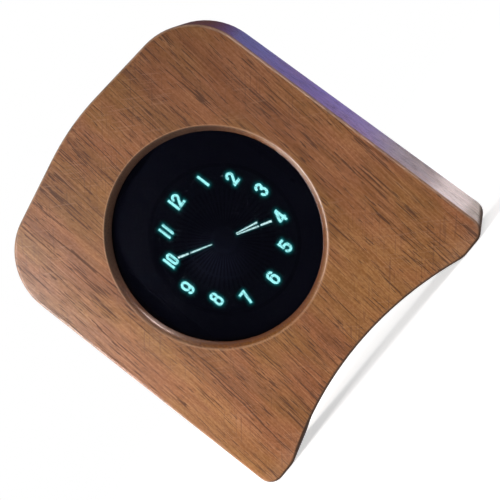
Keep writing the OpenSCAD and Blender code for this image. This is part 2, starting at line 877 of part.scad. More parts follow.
module crystal() {
    can_w = 3.2;
    can_l = 1.6;
    color("gainsboro")
        block(crystal_at[0], window_z + crystal_at[1], can_w, can_l,
            parts_d, parts_d + chip_h / 2, plain_corner);
}

module cell_holder() {
    z = window_z + holder_at[1];
    color([0.12, 0.12, 0.12])
        difference() {
            bar(holder_at[0], z, holder_r, parts_d, clip_d);
            bar(holder_at[0], z, holder_r - holder_wall, holder_d, clip_d + 1);
        }
}

module coin_cell() {
    rim = 0.4;
    color("lightgray")
        turned(holder_at[0], window_z + holder_at[1], [
            [0, holder_d], [cell_r - 2 * rim, holder_d], [cell_r - rim, holder_d + rim],
            [cell_r, holder_d + 2 * rim], [cell_r, clip_d - rim], [cell_r - rim, clip_d], [0, clip_d]
        ]);
}

module cell_clip() {
    // A spring strip over the cell, with a leg down each side of the holder
    inside = holder_r + pass_gap;
    foot = 1.5;
    z = window_z + holder_at[1];
    color("silver")
        translate([holder_at[0], 0, z - clip_w / 2])
            linear_extrude(height = clip_w)
                polygon([
                    [-inside - foot, at(parts_d)], [-inside, at(parts_d)],
                    [-inside, at(clip_d)], [inside, at(clip_d)],
                    [inside, at(parts_d)], [inside + foot, at(parts_d)],
                    [inside + foot, at(parts_d + clip_t)], [inside + clip_t, at(parts_d + clip_t)],
                    [inside + clip_t, at(clip_d + clip_t)], [-inside - clip_t, at(clip_d + clip_t)],
                    [-inside - clip_t, at(parts_d + clip_t)], [-inside - foot, at(parts_d + clip_t)]
                ]);
}

module boost_inductor() {
    color([0.2, 0.2, 0.2])
        block(coil_at[0], window_z + coil_at[1], coil_side, coil_side,
            parts_d, parts_d + coil_h, soft_corner);
}

module capacitor_bases() {
    side = 2 * (can_r + can_foot_w);
    color([0.1, 0.1, 0.1])
        for (place = can_at)
            block(place[0], window_z + place[1], side, side, parts_d, parts_d + can_foot_t, plain_corner);
}

module capacitor_cans() {
    neck = 0.3;
    foot_d = parts_d + can_foot_t;
    top_d = foot_d + can_h;
    color("gainsboro")
        for (place = can_at)
            turned(place[0], window_z + place[1], [
                [0, foot_d], [can_r, foot_d], [can_r, foot_d + 2 * neck], [can_r - neck, foot_d + 3 * neck],
                [can_r, foot_d + 4 * neck], [can_r, top_d - neck], [can_r - neck, top_d], [0, top_d]
            ]);
}

// Rows of small chip parts
module passives(shift, height) {
    for (row = passive_rows)
        for (i = [0:passive_count - 1])
            block(row[0] + shift, window_z + row[1] + i * passive_gap, passive_l, passive_w,
                parts_d, parts_d + height, fine_corner);
}

module chip_capacitors() {
    color("tan")
        passives(0, capacitor_h);
}

module chip_resistors() {
    color([0.15, 0.15, 0.15])
        passives(passive_l + 1, resistor_h);
}

module usb_shell() {
    color("silver")
        difference() {
            slab(parts_d, cover_back_d)
                usb_view(0);
            slab(parts_d + usb_wall, cover_back_d + 1)
                usb_view(-usb_wall);
        }
}

module usb_tongue() {
    color("black")
        block(0, window_z - usb_drop, tongue_w, tongue_t,
            parts_d + usb_wall, cover_back_d - tongue_back, fine_corner);
}

// Buttons

module switch_bodies() {
    well_d = switch_d - plunger_seat - button_travel - slide_gap;
    color([0.15, 0.15, 0.15])
        for (i = [-1:1])
            translate([i * button_pitch, 0, window_z - button_drop])
                difference() {
                    block(0, 0, switch_side, switch_side, parts_d, switch_d, plain_corner);
                    bar(0, 0, plunger_r + slide_gap, well_d, switch_d + 1);
                }
}

module switch_plunger(i) {
    color("ivory")
        bar(i * button_pitch, window_z - button_drop, plunger_r, switch_d - plunger_seat, plunger_d);
}

module switch_plunger_left() {
    switch_plunger(-1);
}

module switch_plunger_middle() {
    switch_plunger(0);
}

module switch_plunger_right() {
    switch_plunger(1);
}

module button(i) {
    ease = 0.25;
    color([0.2, 0.2, 0.2])
        turned(i * button_pitch, window_z - button_drop, [
            [0, plunger_d], [button_r, plunger_d], [button_r, flange_d - flange_t],
            [button_r + flange_w, flange_d - flange_t], [button_r + flange_w, flange_d], [button_r, flange_d],
            [button_r, button_d - ease], [button_r - ease, button_d], [0, button_d]
        ]);
}

module button_left() {
    button(-1);
}

module button_middle() {
    button(0);
}

module button_right() {
    button(1);
}

wood_case();
lens_gasket();
lens();
rear_cover();
cover_screws();
tube_front_glass();
tube_side_glass();
tube_base_plate();
exhaust_tip();
tube_leads();
getter();
inner_segments_unlit();
outer_segments_unlit();
inner_segments_lit();
outer_segments_lit();
control_grid();
filament_wires();
filament_anchor();
filament_springs();
foam_pads();
main_board();
board_spacers();
board_screws();
microcontroller();
driver_chips();
clock_chip();
chip_legs();
crystal();
cell_holder();
coin_cell();
cell_clip();
boost_inductor();
capacitor_cans();
capacitor_bases();
chip_capacitors();
chip_resistors();
usb_shell();
usb_tongue();
switch_bodies();
switch_plunger_left();
switch_plunger_middle();
switch_plunger_right();
button_left();
button_middle();
button_right();
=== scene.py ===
# %% [markdown]
# A vacuum fluorescent table clock: a solid walnut slab with a round smoked window, and behind it a flat
# glass tube whose numerals and hand segments glow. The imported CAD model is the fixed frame. Everything
# below dresses it: camera and light first, then the finishes, then the printed numerals and their halo,
# which the solids leave out.

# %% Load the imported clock
import math

import bmesh
import bpy
import numpy as np
from mathutils import Matrix, Vector


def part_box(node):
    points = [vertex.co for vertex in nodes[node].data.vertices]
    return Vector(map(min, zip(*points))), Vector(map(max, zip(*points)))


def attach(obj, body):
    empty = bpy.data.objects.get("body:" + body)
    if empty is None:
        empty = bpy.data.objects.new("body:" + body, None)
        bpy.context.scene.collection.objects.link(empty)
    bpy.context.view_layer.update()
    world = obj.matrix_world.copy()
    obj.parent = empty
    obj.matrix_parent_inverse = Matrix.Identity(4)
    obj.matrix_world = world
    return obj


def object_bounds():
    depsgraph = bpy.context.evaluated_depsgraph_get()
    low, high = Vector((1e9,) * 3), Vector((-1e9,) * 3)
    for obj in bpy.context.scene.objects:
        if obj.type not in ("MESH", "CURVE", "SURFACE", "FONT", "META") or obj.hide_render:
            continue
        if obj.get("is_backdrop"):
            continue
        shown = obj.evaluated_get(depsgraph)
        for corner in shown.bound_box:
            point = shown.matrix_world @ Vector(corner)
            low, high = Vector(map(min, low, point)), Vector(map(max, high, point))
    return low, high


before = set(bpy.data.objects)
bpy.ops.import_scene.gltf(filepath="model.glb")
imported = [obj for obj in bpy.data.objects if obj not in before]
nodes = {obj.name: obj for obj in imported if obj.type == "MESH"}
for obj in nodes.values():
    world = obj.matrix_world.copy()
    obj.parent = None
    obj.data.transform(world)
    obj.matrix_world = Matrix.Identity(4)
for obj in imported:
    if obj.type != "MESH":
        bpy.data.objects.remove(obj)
cad_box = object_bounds()
MM = 0.001

# %% [markdown]
# The photograph was taken from a little to the clock's right, with the camera rolled over to its right, so
# the clock's own upright runs towards the upper left of the picture. A roll like that is awkward as Euler
# angles. Three directions, forward, up and right, make the rotation matrix at once and can be read off
# directly. The numbers come from a fit of the camera to the photograph.

# %% Camera
EYE_RIGHT, EYE_AHEAD, EYE_UP = 125.85 * MM, 396.2 * MM, 47.4 * MM
SENSOR_WIDTH, FOCAL_LENGTH = 36, 100.8
front_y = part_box("wood_case")[0].y
eye = Vector((EYE_RIGHT, front_y - EYE_AHEAD, EYE_UP))
forward = Vector((-0.2936, 0.9559, 0.0068)).normalized()
rolled_up = Vector((0.758, 0.2285, 0.6109))
right = forward.cross(rolled_up).normalized()
upward = right.cross(forward)
lens_data = bpy.data.cameras.new("photo_camera")
lens_data.sensor_width = SENSOR_WIDTH
lens_data.lens = FOCAL_LENGTH
lens_data.clip_start = 0.01
camera = bpy.data.objects.new("photo_camera", lens_data)
camera.matrix_world = Matrix.Translation(eye) @ Matrix((right, upward, -forward)).transposed().to_4x4()
bpy.context.scene.collection.objects.link(camera)
bpy.context.scene.camera = camera
bpy.context.scene.view_settings.view_transform = "Standard"
print("camera stands", round(eye.length, 3), "m from the clock's foot")

# %% [markdown]
# Node trees are long to write out one socket at a time. Small helpers keep them readable. Two of them place a
# node and feed its inputs, each with a link or a plain value. The next ones do arithmetic, mix two colours,
# fit a value to a new range and look a colour up on a ramp.

# %% Helpers for nodes and values
# The Mix node's colour sockets by number, because its sockets for other kinds have the same names
MIX_FACTOR, MIX_A, MIX_B, MIX_RESULT = 0, 6, 7, 2


def feed(tree, node, inputs):
    """Links every input that is given a socket, and sets every input that is given a value."""
    for key, value in inputs.items():
        if isinstance(value, bpy.types.NodeSocket):
            tree.links.new(value, node.inputs[key])
        else:
            node.inputs[key].default_value = value


def put(tree, kind, inputs=None, **settings):
    """Adds a node with its settings, and feeds its inputs."""
    node = tree.nodes.new("ShaderNode" + kind)
    for key, value in settings.items():
        setattr(node, key, value)
    feed(tree, node, inputs or {})
    return node


def maths(tree, operation, a, b=0.0):
    return put(tree, "Math", {0: a, 1: b}, operation=operation).outputs[0]


def times(tree, a, b):
    return maths(tree, "MULTIPLY", a, b)


def vectors(tree, operation, a, b=(0.0, 0.0, 0.0), result="Vector"):
    return put(tree, "VectorMath", {0: a, 1: b}, operation=operation).outputs[result]


def mixed(tree, factor, a, b, mode="MIX"):
    inputs = {MIX_FACTOR: factor, MIX_A: a, MIX_B: b}
    return put(tree, "Mix", inputs, data_type="RGBA", blend_type=mode).outputs[MIX_RESULT]


def ranged(tree, value, low, high, to_low=0.0, to_high=1.0, curve="SMOOTHSTEP"):
    inputs = {"Value": value, "From Min": low, "From Max": high, "To Min": to_low, "To Max": to_high}
    return put(tree, "MapRange", inputs, interpolation_type=curve).outputs[0]


def rgba(red, green, blue):
    return (red, green, blue, 1.0)


def grey(level):
    return rgba(level, level, level)


def colour_ramp(tree, value, stops):
    """The colour at a value. Each stop is a place from 0 to 1 with its colour."""
    ramp = put(tree, "ValToRGB", {"Fac": value})
    marks = ramp.color_ramp.elements
    for stop in stops[1:-1]:
        marks.new(stop[0])
    for mark, (place, colour) in zip(marks, stops):
        mark.position = place
        mark.color = rgba(*colour)
    return ramp.outputs[0]


print("node helpers ready")

# %% [markdown]
# Most finishes also ask where a point is and which way its surface faces. The solids keep the clock's own
# frame, so object coordinates are metres on the clock, and a pattern stays with its piece when that moves.


# %% Helpers for places
def object_place(tree):
    return put(tree, "TexCoord").outputs["Object"]


def surface_normal(tree):
    return put(tree, "NewGeometry").outputs["Normal"]


def split(tree, vector):
    """The sockets X, Y and Z of a vector."""
    return put(tree, "SeparateXYZ", {0: vector}).outputs


def turned(tree, place, degrees):
    """Coordinates turned about the axis from front to back."""
    turn = put(tree, "CombineXYZ", {"Y": maths(tree, "RADIANS", degrees)}).outputs[0]
    return put(tree, "Mapping", {"Vector": place, "Rotation": turn}).outputs[0]


def stretched(tree, place, along):
    """Coordinates drawn out along the upright."""
    return put(tree, "Mapping", {"Vector": place, "Scale": (1.0, 1.0, along)}).outputs[0]


def noise(tree, place, scale, detail, roughness=0.5):
    """The outputs of a noise: its value comes first, then its colour."""
    inputs = {"Vector": place, "Scale": scale, "Detail": detail, "Roughness": roughness}
    return put(tree, "TexNoise", inputs).outputs


def new_material(name):
    material = bpy.data.materials.new(name)
    material.use_nodes = True
    return material, material.node_tree, material.node_tree.nodes["Principled BSDF"]


print("place helpers ready")

# %% [markdown]
# The clock stands on a plain white floor under a white sky. The floor is an ordinary pale diffuse surface, so
# it keeps the clock's shadow. What the camera, gloss and glass see of it is lifted to white with Light Path,
# and the light that falls on the clock stays at a plain level.

# %% Floor and sky
FLOOR_HALF, FLOOR_DROP = 3.0, -0.05 * MM
FLOOR_PAINT, FLOOR_LIFT, AMBIENT = 0.8, 0.6, 0.5


def seen_directly(tree):
    """1 for camera, glossy and transmission rays."""
    path = put(tree, "LightPath").outputs
    seen = maths(tree, "MAXIMUM", path["Is Camera Ray"], path["Is Glossy Ray"])
    return maths(tree, "MAXIMUM", seen, path["Is Transmission Ray"])


def flat_sheet(name, half_width, half_height, level=0.0):
    """A rectangle in its own XY plane."""
    signs = [(-1, -1), (1, -1), (1, 1), (-1, 1)]
    mesh = bpy.data.meshes.new(name)
    mesh.from_pydata([(x * half_width, y * half_height, level) for x, y in signs], [], [(0, 1, 2, 3)])
    sheet = bpy.data.objects.new(name, mesh)
    bpy.context.scene.collection.objects.link(sheet)
    return sheet


def make_floor():
    floor = flat_sheet("floor", FLOOR_HALF, FLOOR_HALF, FLOOR_DROP)
    paint, tree, shader = new_material("floor_paint")
    feed(tree, shader, {
        "Base Color": grey(FLOOR_PAINT),
        "Roughness": 1.0,
        "Specular IOR Level": 0.0,
        "Emission Color": mixed(tree, seen_directly(tree), grey(0), grey(FLOOR_LIFT)),
        "Emission Strength": 1.0,
    })
    floor.data.materials.append(paint)
    floor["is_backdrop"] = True


def make_sky():
    world = bpy.data.worlds.new("white_sky")
    world.use_nodes = True
    tree = world.node_tree
    sky = mixed(tree, seen_directly(tree), grey(AMBIENT), grey(1))
    feed(tree, tree.nodes["Background"], {"Color": sky})
    bpy.context.scene.world = world


make_floor()
make_sky()
print("floor is", 2 * FLOOR_HALF, "m wide, sky light is", AMBIENT)

# %% [markdown]
# Four soft lamps light the clock. The key lamp at the front left grazes the wood, the high lamp and the left
# lamp help it where the photograph is palest, and a weak lamp on the right keeps that side from going black.
# Disc-shaped area lamps give shadows with soft edges, and a sun or a point lamp would leave hard ones.

# %% Lamps
CLOCK_MIDDLE = (0, 0, 0.06)
# Each lamp: place, width, power in watts, colour
LAMPS = {
    "key_lamp": ((-0.43, -0.38, 0.13), 0.12, 2.2, (1.0, 0.96, 0.92)),
    "high_lamp": ((-0.36, -0.30, 0.40), 0.30, 0.5, (1.0, 0.97, 0.95)),
    "left_lamp": ((-0.60, 0.06, 0.12), 0.45, 2.3, (1.0, 0.92, 0.85)),
    "right_lamp": ((0.60, -0.14, 0.16), 0.25, 0.3, (1.0, 0.90, 0.92)),
}


def aimed_at(place, target):
    place, target = Vector(place), Vector(target)
    return Matrix.Translation(place) @ (target - place).to_track_quat("-Z", "Y").to_matrix().to_4x4()


def add_lamp(name, place, width, power, colour):
    data = bpy.data.lights.new(name, "AREA")
    data.shape = "DISK"
    data.size = width
    data.energy = power
    data.color = colour
    lamp = bpy.data.objects.new(name, data)
    lamp.matrix_world = aimed_at(place, CLOCK_MIDDLE)
    lamp.visible_camera = False
    bpy.context.scene.collection.objects.link(lamp)


for name, row in LAMPS.items():
    add_lamp(name, *row)
print("lamps:", ", ".join(LAMPS))

# %% [markdown]
# Satin varnish and black glass mostly show what they reflect, so cards stand round the clock as in a photo
# studio. A dark card and a dark flag on the floor keep the glass black. The veil card lays a pale sheen over
# the upper left of the wood, and the blush card draws a pale line along the eased edge on the right. Behind
# the clock, the lavender card tints its right side, the shade card darkens the shoulder above it, and the
# pale card lightens its lower end. The camera doesn't see the cards: they only show in gloss and cast no
# shadow.


# %% Cards
def one_colour(*colour):
    return [(0.0, colour), (1.0, colour)]


# The colours of a card from its lower edge to its upper edge
DARK = [(0.0, (0.02, 0.02, 0.04)), (1.0, (0.03, 0.03, 0.07))]
LAVENDER = [(0.07, (0.55, 0.58, 0.72)), (0.13, (0.36, 0.34, 1.05)), (0.22, (0.22, 0.24, 0.95)),
            (0.33, (0.10, 0.24, 0.80)), (0.42, (0.07, 0.06, 0.35)), (0.50, (0.05, 0.02, 0.06))]
SHADE = one_colour(0.05, 0.02, 0.06)
PALE = one_colour(2.2, 2.0, 2.06)
VEIL = one_colour(14.5, 14.3, 14.3)
BLUSH = one_colour(22.0, 18.0, 16.5)
# Each card: place, the point it faces, width, height, colours
CARDS = {
    "dark_card": ((0.20, -0.35, 0.35), (0.20, 0, 0.35), 0.80, 0.70, DARK),
    "dark_flag": ((0.0, -0.40, 0.002), (0.0, -0.40, 0.1), 1.60, 0.74, DARK),
    "veil_card": ((-0.345, -0.37, 0.22), CLOCK_MIDDLE, 0.24, 0.24, VEIL),
    "blush_card": ((0.40, -0.38, 0.10), (0, 0, 0.10), 0.24, 0.24, BLUSH),
    "lavender_card": ((0.23, 0.27, 0.175), (0.23, 0, 0.175), 0.34, 0.35, LAVENDER),
    "shade_card": ((-0.03, 0.27, 0.24), (-0.03, 0, 0.24), 0.18, 0.22, SHADE),
    "pale_card": ((0.18, 0.15, 0.002), (0.18, 0.15, 0.1), 0.24, 0.20, PALE),
}


def add_card(name, place, target, width, height, stops):
    card = flat_sheet(name, width / 2, height / 2)
    card.matrix_world = aimed_at(place, target)
    card.visible_camera = card.visible_diffuse = card.visible_shadow = False
    paint, tree, shader = new_material(name)
    level = split(tree, object_place(tree))["Y"]
    share = ranged(tree, level, -height / 2, height / 2, curve="LINEAR")
    feed(tree, shader, {
        "Base Color": grey(0),
        "Specular IOR Level": 0.0,
        "Emission Color": colour_ramp(tree, share, stops),
        "Emission Strength": 1.0,
    })
    card.data.materials.append(paint)
    card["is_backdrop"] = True


for name, row in CARDS.items():
    add_card(name, *row)
print("cards:", ", ".join(CARDS))

# %% [markdown]
# Several finishes share the same small faults of real surfaces: a mottled, slightly uneven skin, hair-fine
# scratches, and edges that handling has rubbed. Each is one node group with its own inputs, so every finish
# can place it with its own values. The walnut's figure is a group too, because it is worth reading by itself.

# %% Uneven skin
FLOAT, COLOUR = "NodeSocketFloat", "NodeSocketColor"
# Most of a noise lies between these two values
NOISE_LOW, NOISE_HIGH = 0.3, 0.7


def new_group(name, inputs, outputs):
    """An empty node group with its sockets, its input node and its output node."""
    group = bpy.data.node_groups.new(name, "ShaderNodeTree")
    for label, value in inputs.items():
        socket = group.interface.new_socket(label, in_out="INPUT", socket_type=FLOAT)
        socket.default_value = value
    for label, kind in outputs.items():
        group.interface.new_socket(label, in_out="OUTPUT", socket_type=kind)
    return group, group.nodes.new("NodeGroupInput"), group.nodes.new("NodeGroupOutput")


def uneven_skin():
    """Cloudy unevenness over a fine grain, both from 0 to 1."""
    inputs, outputs = {"Clouds": 60.0, "Grain": 2500.0}, {"Clouds": FLOAT, "Grain": FLOAT}
    group, start, end = new_group("uneven_skin", inputs, outputs)
    place = object_place(group)
    clouds = noise(group, place, start.outputs["Clouds"], 4.0, 0.6)[0]
    grain = noise(group, place, start.outputs["Grain"], 2.0)[0]
    feed(group, end, {
        "Clouds": ranged(group, clouds, NOISE_LOW, NOISE_HIGH),
        "Grain": ranged(group, grain, NOISE_LOW, NOISE_HIGH),
    })
    return group


SKIN = uneven_skin()
print("group", SKIN.name, "has", len(SKIN.nodes), "nodes")

# %% [markdown]
# Sandpaper leaves straight, hair-fine scratches in patches, and never an even hatching. Noise that is drawn
# out far and cut off near its peaks gives the lines, and a second, coarse noise says where the patches are.
# A finish turns them to its own angle.

# %% Fine scratches
SCRATCH_DRAW, SCRATCH_PEAKS = 0.045, (0.61, 0.67)
PATCH_SCALE, PATCH_PEAKS = 55.0, (0.46, 0.58)


def fine_scratches():
    """Sparse straight scratches across the front and back, turned by an angle in degrees."""
    inputs = {"Angle": 40.0, "Fineness": 1900.0, "Amount": 0.5}
    group, start, end = new_group("fine_scratches", inputs, {"Mask": FLOAT})
    place = object_place(group)
    drawn_out = stretched(group, turned(group, place, start.outputs["Angle"]), SCRATCH_DRAW)
    lines = ranged(group, noise(group, drawn_out, start.outputs["Fineness"], 1.0)[0], *SCRATCH_PEAKS)
    patches = ranged(group, noise(group, place, PATCH_SCALE, 2.0)[0], *PATCH_PEAKS)
    feed(group, end, {"Mask": times(group, times(group, lines, patches), start.outputs["Amount"])})
    return group


SCRATCHES = fine_scratches()
print("group", SCRATCHES.name, "has", len(SCRATCHES.nodes), "nodes")

# %% [markdown]
# Hands rub the eased edges of a case first. Blender can find edges by how pointed the mesh is, but that
# depends on its facets. Here the direction of the surface tells: on an eased edge it lies between the front
# and the side.

# %% Rubbed edges
# Share of the normal towards the front or back in the middle of an eased edge, and how far off the edge ends
EASED_MIDDLE, EASED_END = 0.62, 0.36
BREAK_SCALE, BREAK_RANGE = 160.0, (0.25, 0.6)


def edge_rub():
    """1 where the surface turns from front or back to the side: the eased edges."""
    group, start, end = new_group("edge_rub", {"Spread": 0.25}, {"Mask": FLOAT})
    to_front = maths(group, "ABSOLUTE", split(group, surface_normal(group))["Y"])
    off_middle = maths(group, "ABSOLUTE", maths(group, "SUBTRACT", to_front, EASED_MIDDLE))
    edge = ranged(group, off_middle, EASED_END, start.outputs["Spread"], curve="LINEAR")
    broken = ranged(group, noise(group, object_place(group), BREAK_SCALE, 3.0)[0], *BREAK_RANGE)
    feed(group, end, {"Mask": times(group, edge, broken)})
    return group


EDGES = edge_rub()
print("group", EDGES.name, "has", len(EDGES.nodes), "nodes")

# %% [markdown]
# Walnut is a solid texture here, not a picture laid on the front: the same grain runs through the slab, so
# the sides show long grain and the top and the feet show end grain. Every layer of it is noise that is drawn
# out along the upright: bands, streaks, fibre and flecks. The open pores are the peaks of two more such
# noises, a long one and a short one, so they come out as thin dark dashes.

# %% Walnut grain
# Each layer of the grain: streaks per metre, how far they are drawn out, detail of the noise
LAYERS = {
    "bands": (90.0, 0.20, 3.0),
    "streaks": (520.0, 0.05, 3.0),
    "fibre": (2100.0, 0.035, 2.0),
    "flecks": (2300.0, 0.5, 1.0),
    "long pores": (2300.0, 0.021, 1.0),
    "short pores": (2800.0, 0.060, 1.0),
    "hue": (70.0, 0.4, 2.0),
}
PORE_PEAKS = {"long pores": (0.615, 0.665), "short pores": (0.625, 0.675)}
PORE_CROWDING = 0.25
GRAIN_ROUGHNESS = 0.55
SWAY_SCALE, SWAY_DRAW = 24.0, 0.45


def grain_place(group, start):
    """Object coordinates leaned a few degrees and swayed, so no streak is dead straight."""
    leaned = turned(group, object_place(group), start.outputs["Lean"])
    drift = noise(group, stretched(group, leaned, SWAY_DRAW), SWAY_SCALE, 2.0)["Color"]
    centred = vectors(group, "SUBTRACT", drift, (0.5, 0.5, 0.5))
    scaled = {0: centred, "Scale": start.outputs["Wander"]}
    sway = put(group, "VectorMath", scaled, operation="SCALE").outputs[0]
    return vectors(group, "ADD", leaned, sway)


def grain_layer(group, grain, across, draw, detail):
    return noise(group, stretched(group, grain, draw), across, detail, GRAIN_ROUGHNESS)[0]


def pore_mask(group, layers):
    """1 in the pores. They crowd where the streaks rise above the bands."""
    rise = maths(group, "SUBTRACT", layers["streaks"], layers["bands"])
    crowd = times(group, rise, PORE_CROWDING)
    pores = []
    for name, peak in PORE_PEAKS.items():
        pores.append(ranged(group, maths(group, "ADD", layers[name], crowd), *peak))
    return maths(group, "MAXIMUM", *pores)


print(len(LAYERS), "layers of grain")

# %% [markdown]
# The colour of oiled walnut runs from a deep to a pale brown with pinker and more golden zones. Fibre and
# flecks change blue more than red, as in the photograph, so each has its own swing per channel. End grain
# drinks more oil and is darker, and the direction that the surface faces tells where it is.

# %% Walnut figure
BROWNS = [(0.34, (0.169, 0.063, 0.0170)), (0.50, (0.225, 0.087, 0.0240)), (0.68, (0.281, 0.116, 0.0360))]
PINK_ZONE, GOLDEN_ZONE = rgba(1.03, 0.95, 1.12), rgba(0.97, 1.02, 0.82)
ZONE_RANGE = (0.35, 0.65)
FIBRE_SWING, FLECK_SWING = (0.14, 0.22, 0.42), (0.11, 0.16, 0.30)
PALE_FIBRE, PALE_AMOUNT, PALE_DIPS = rgba(0.40, 0.19, 0.085), 0.40, (0.38, 0.28)
PORE_BROWN, PORE_AMOUNT = rgba(0.058, 0.019, 0.006), 0.84
END_GRAIN, END_GRAIN_FADE = rgba(0.60, 0.54, 0.50), (0.55, 0.95)


def wood_tone(group, layers):
    tone = maths(group, "ADD", times(group, layers["bands"], 0.5), times(group, layers["streaks"], 0.5))
    zone = mixed(group, ranged(group, layers["hue"], *ZONE_RANGE), PINK_ZONE, GOLDEN_ZONE)
    return mixed(group, 1.0, colour_ramp(group, tone, BROWNS), zone, "MULTIPLY")


def swung(group, colour, layer, swings):
    """The colour times a factor near 1 that follows a layer, with its own swing in red, green and blue."""
    factors = {}
    for channel, swing in enumerate(swings):
        factors[channel] = ranged(group, layer, NOISE_LOW, NOISE_HIGH, 1.0 - swing, 1.0 + swing)
    return mixed(group, 1.0, colour, put(group, "CombineColor", factors).outputs[0], "MULTIPLY")


def walnut_figure():
    outputs = {"Colour": COLOUR, "Pores": FLOAT, "Fibre": FLOAT}
    group, start, end = new_group("walnut_figure", {"Wander": 0.006, "Lean": -5.0}, outputs)
    grain = grain_place(group, start)
    layers = {name: grain_layer(group, grain, *row) for name, row in LAYERS.items()}
    pores = pore_mask(group, layers)
    colour = swung(group, wood_tone(group, layers), layers["fibre"], FIBRE_SWING)
    colour = swung(group, colour, layers["flecks"], FLECK_SWING)
    pale = ranged(group, layers["long pores"], *PALE_DIPS)
    colour = mixed(group, times(group, pale, PALE_AMOUNT), colour, PALE_FIBRE)
    colour = mixed(group, times(group, pores, PORE_AMOUNT), colour, PORE_BROWN)
    upright = maths(group, "ABSOLUTE", split(group, surface_normal(group))["Z"])
    darker = mixed(group, 1.0, colour, END_GRAIN, "MULTIPLY")
    colour = mixed(group, ranged(group, upright, *END_GRAIN_FADE), colour, darker)
    feed(group, end, {"Colour": colour, "Pores": pores, "Fibre": layers["fibre"]})
    return group


FIGURE = walnut_figure()
print("walnut figure has", len(FIGURE.nodes), "nodes")

# %% [markdown]
# The case isn't finished alike all over. The rim round the window is turned and smoother, its lip is worn and
# painted paler as a highlight, the underside is bare of varnish and painted dark as shade, and sanding has
# left marks in two directions. Painting such areas by hand would need a picture. The distance from the lens's
# axis, the height and the direction of the surface find them without one.

# %% Walnut masks
# Radii of the rim in millimetres, from its outer edge down to the lens. At the steady radius the slope of the
# solid is kept as it is
RIM_TOP, RIM_EDGE, RIM_STEADY, RIM_FOOT = 34.35, 34.0, 32.75, 32.5
RIM_FADE = (33.95, 33.65)
LIP_RADIUS, LIP_FADE = 34.2, (0.40, 0.08)
UNDERSIDE_FADE = (-0.1, -0.5)


def use(tree, group, **values):
    """Places a node group with its own values."""
    node = put(tree, "Group", node_tree=group)
    feed(tree, node, values)
    return node.outputs


def rim_radius(tree):
    """Distance from the lens's axis, in millimetres."""
    low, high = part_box("lens")
    axis = ((low.x + high.x) / 2, 0.0, (low.z + high.z) / 2)
    from_axis = vectors(tree, "SUBTRACT", object_place(tree), axis)
    in_plane = vectors(tree, "MULTIPLY", from_axis, (1.0, 0.0, 1.0))
    return maths(tree, "DIVIDE", vectors(tree, "LENGTH", in_plane, result="Value"), MM)


def walnut_masks(tree):
    """Where the rim, the lip, the underside and the marks are, and the place on the case."""
    radius = rim_radius(tree)
    off_lip = maths(tree, "ABSOLUTE", maths(tree, "SUBTRACT", radius, LIP_RADIUS))
    place = split(tree, object_place(tree))
    return {
        "radius": radius,
        "rim": ranged(tree, radius, *RIM_FADE),
        "lip": ranged(tree, off_lip, *LIP_FADE),
        # slope: 0 at the rim's edge and 1 at its foot. The colour uses it for end grain and painted shade,
        # darker towards the lens
        "slope": ranged(tree, radius, RIM_EDGE, RIM_FOOT, curve="LINEAR"),
        # underside: where the colour gets painted shade and the varnish ends
        "underside": ranged(tree, split(tree, surface_normal(tree))["Z"], *UNDERSIDE_FADE),
        "across": place["X"],
        "height": place["Z"],
        "dark marks": use(tree, SCRATCHES, Angle=-53.5, Amount=1.0)["Mask"],
        "pale marks": use(tree, SCRATCHES, Angle=46.0, Fineness=2300.0, Amount=0.8)["Mask"],
    }


print("rim runs from", RIM_TOP, "to", RIM_FOOT, "mm")

# %% [markdown]
# The slab's colour carries painted shade: it is paler near the foot and darker towards the top and the right,
# as the light falls, with soft clouds over it. Then each mark is a layer over the last one: dark and pale
# sanding marks, worn edges and lip that also carry a painted highlight, the rim's slope, which darkens
# towards the lens as end grain and painted shade, and the underside painted dark as shade. Mixed one by one,
# they can be tried out one by one.

# %% Walnut colour
CLOUD_SWING = (0.93, 1.07)
# Each painted shade: from and to on the case, and the factors there. The first two darken the slab towards
# the top and the right, and the third says how much painted shade the rim's slope gets, more of it low on the
# clock
PAINTED_SHADE_UP = (20 * MM, 105 * MM, 1.21, 0.85)
PAINTED_SHADE_ACROSS = (-45 * MM, 45 * MM, 0.985, 0.88)
RIM_SHADE_BY_HEIGHT = (36 * MM, 64 * MM, 0.97, 0.62)
# How strongly the lip and the eased edges get the worn colour, which is also a painted highlight, and how
# strongly the underside gets its painted shade
LIP_WEAR_AND_HIGHLIGHT, EDGE_WEAR_AND_HIGHLIGHT, UNDERSIDE_SHADE_AMOUNT = 0.8, 0.34, 0.80
DARK_MARKS, PALE_MARKS = 0.36, 0.14
DARK_MARK, PALE_MARK = rgba(0.085, 0.030, 0.012), rgba(0.44, 0.25, 0.15)
# The worn wood colour is wear and a painted highlight, and the rim's colour is end grain with painted shade
WORN_AND_HIGHLIT_WOOD, RIM_END_GRAIN_AND_SHADE = rgba(0.50, 0.29, 0.17), rgba(0.120, 0.036, 0.011)
# The underside's colour is painted shade
UNDERSIDE_PAINTED_SHADE = rgba(0.016, 0.010, 0.008)


def clouds_and_painted_shade(tree, figure, skin, masks):
    """The figure's colour with painted shade over the case, paler low and to the left, and its clouds."""
    up = ranged(tree, masks["height"], *PAINTED_SHADE_UP, "LINEAR")
    drift = times(tree, up, ranged(tree, masks["across"], *PAINTED_SHADE_ACROSS, "LINEAR"))
    factor = times(tree, ranged(tree, skin["Clouds"], 0, 1, *CLOUD_SWING), drift)
    factors = put(tree, "CombineColor", {channel: factor for channel in range(3)}).outputs[0]
    return mixed(tree, 1.0, figure["Colour"], factors, "MULTIPLY")


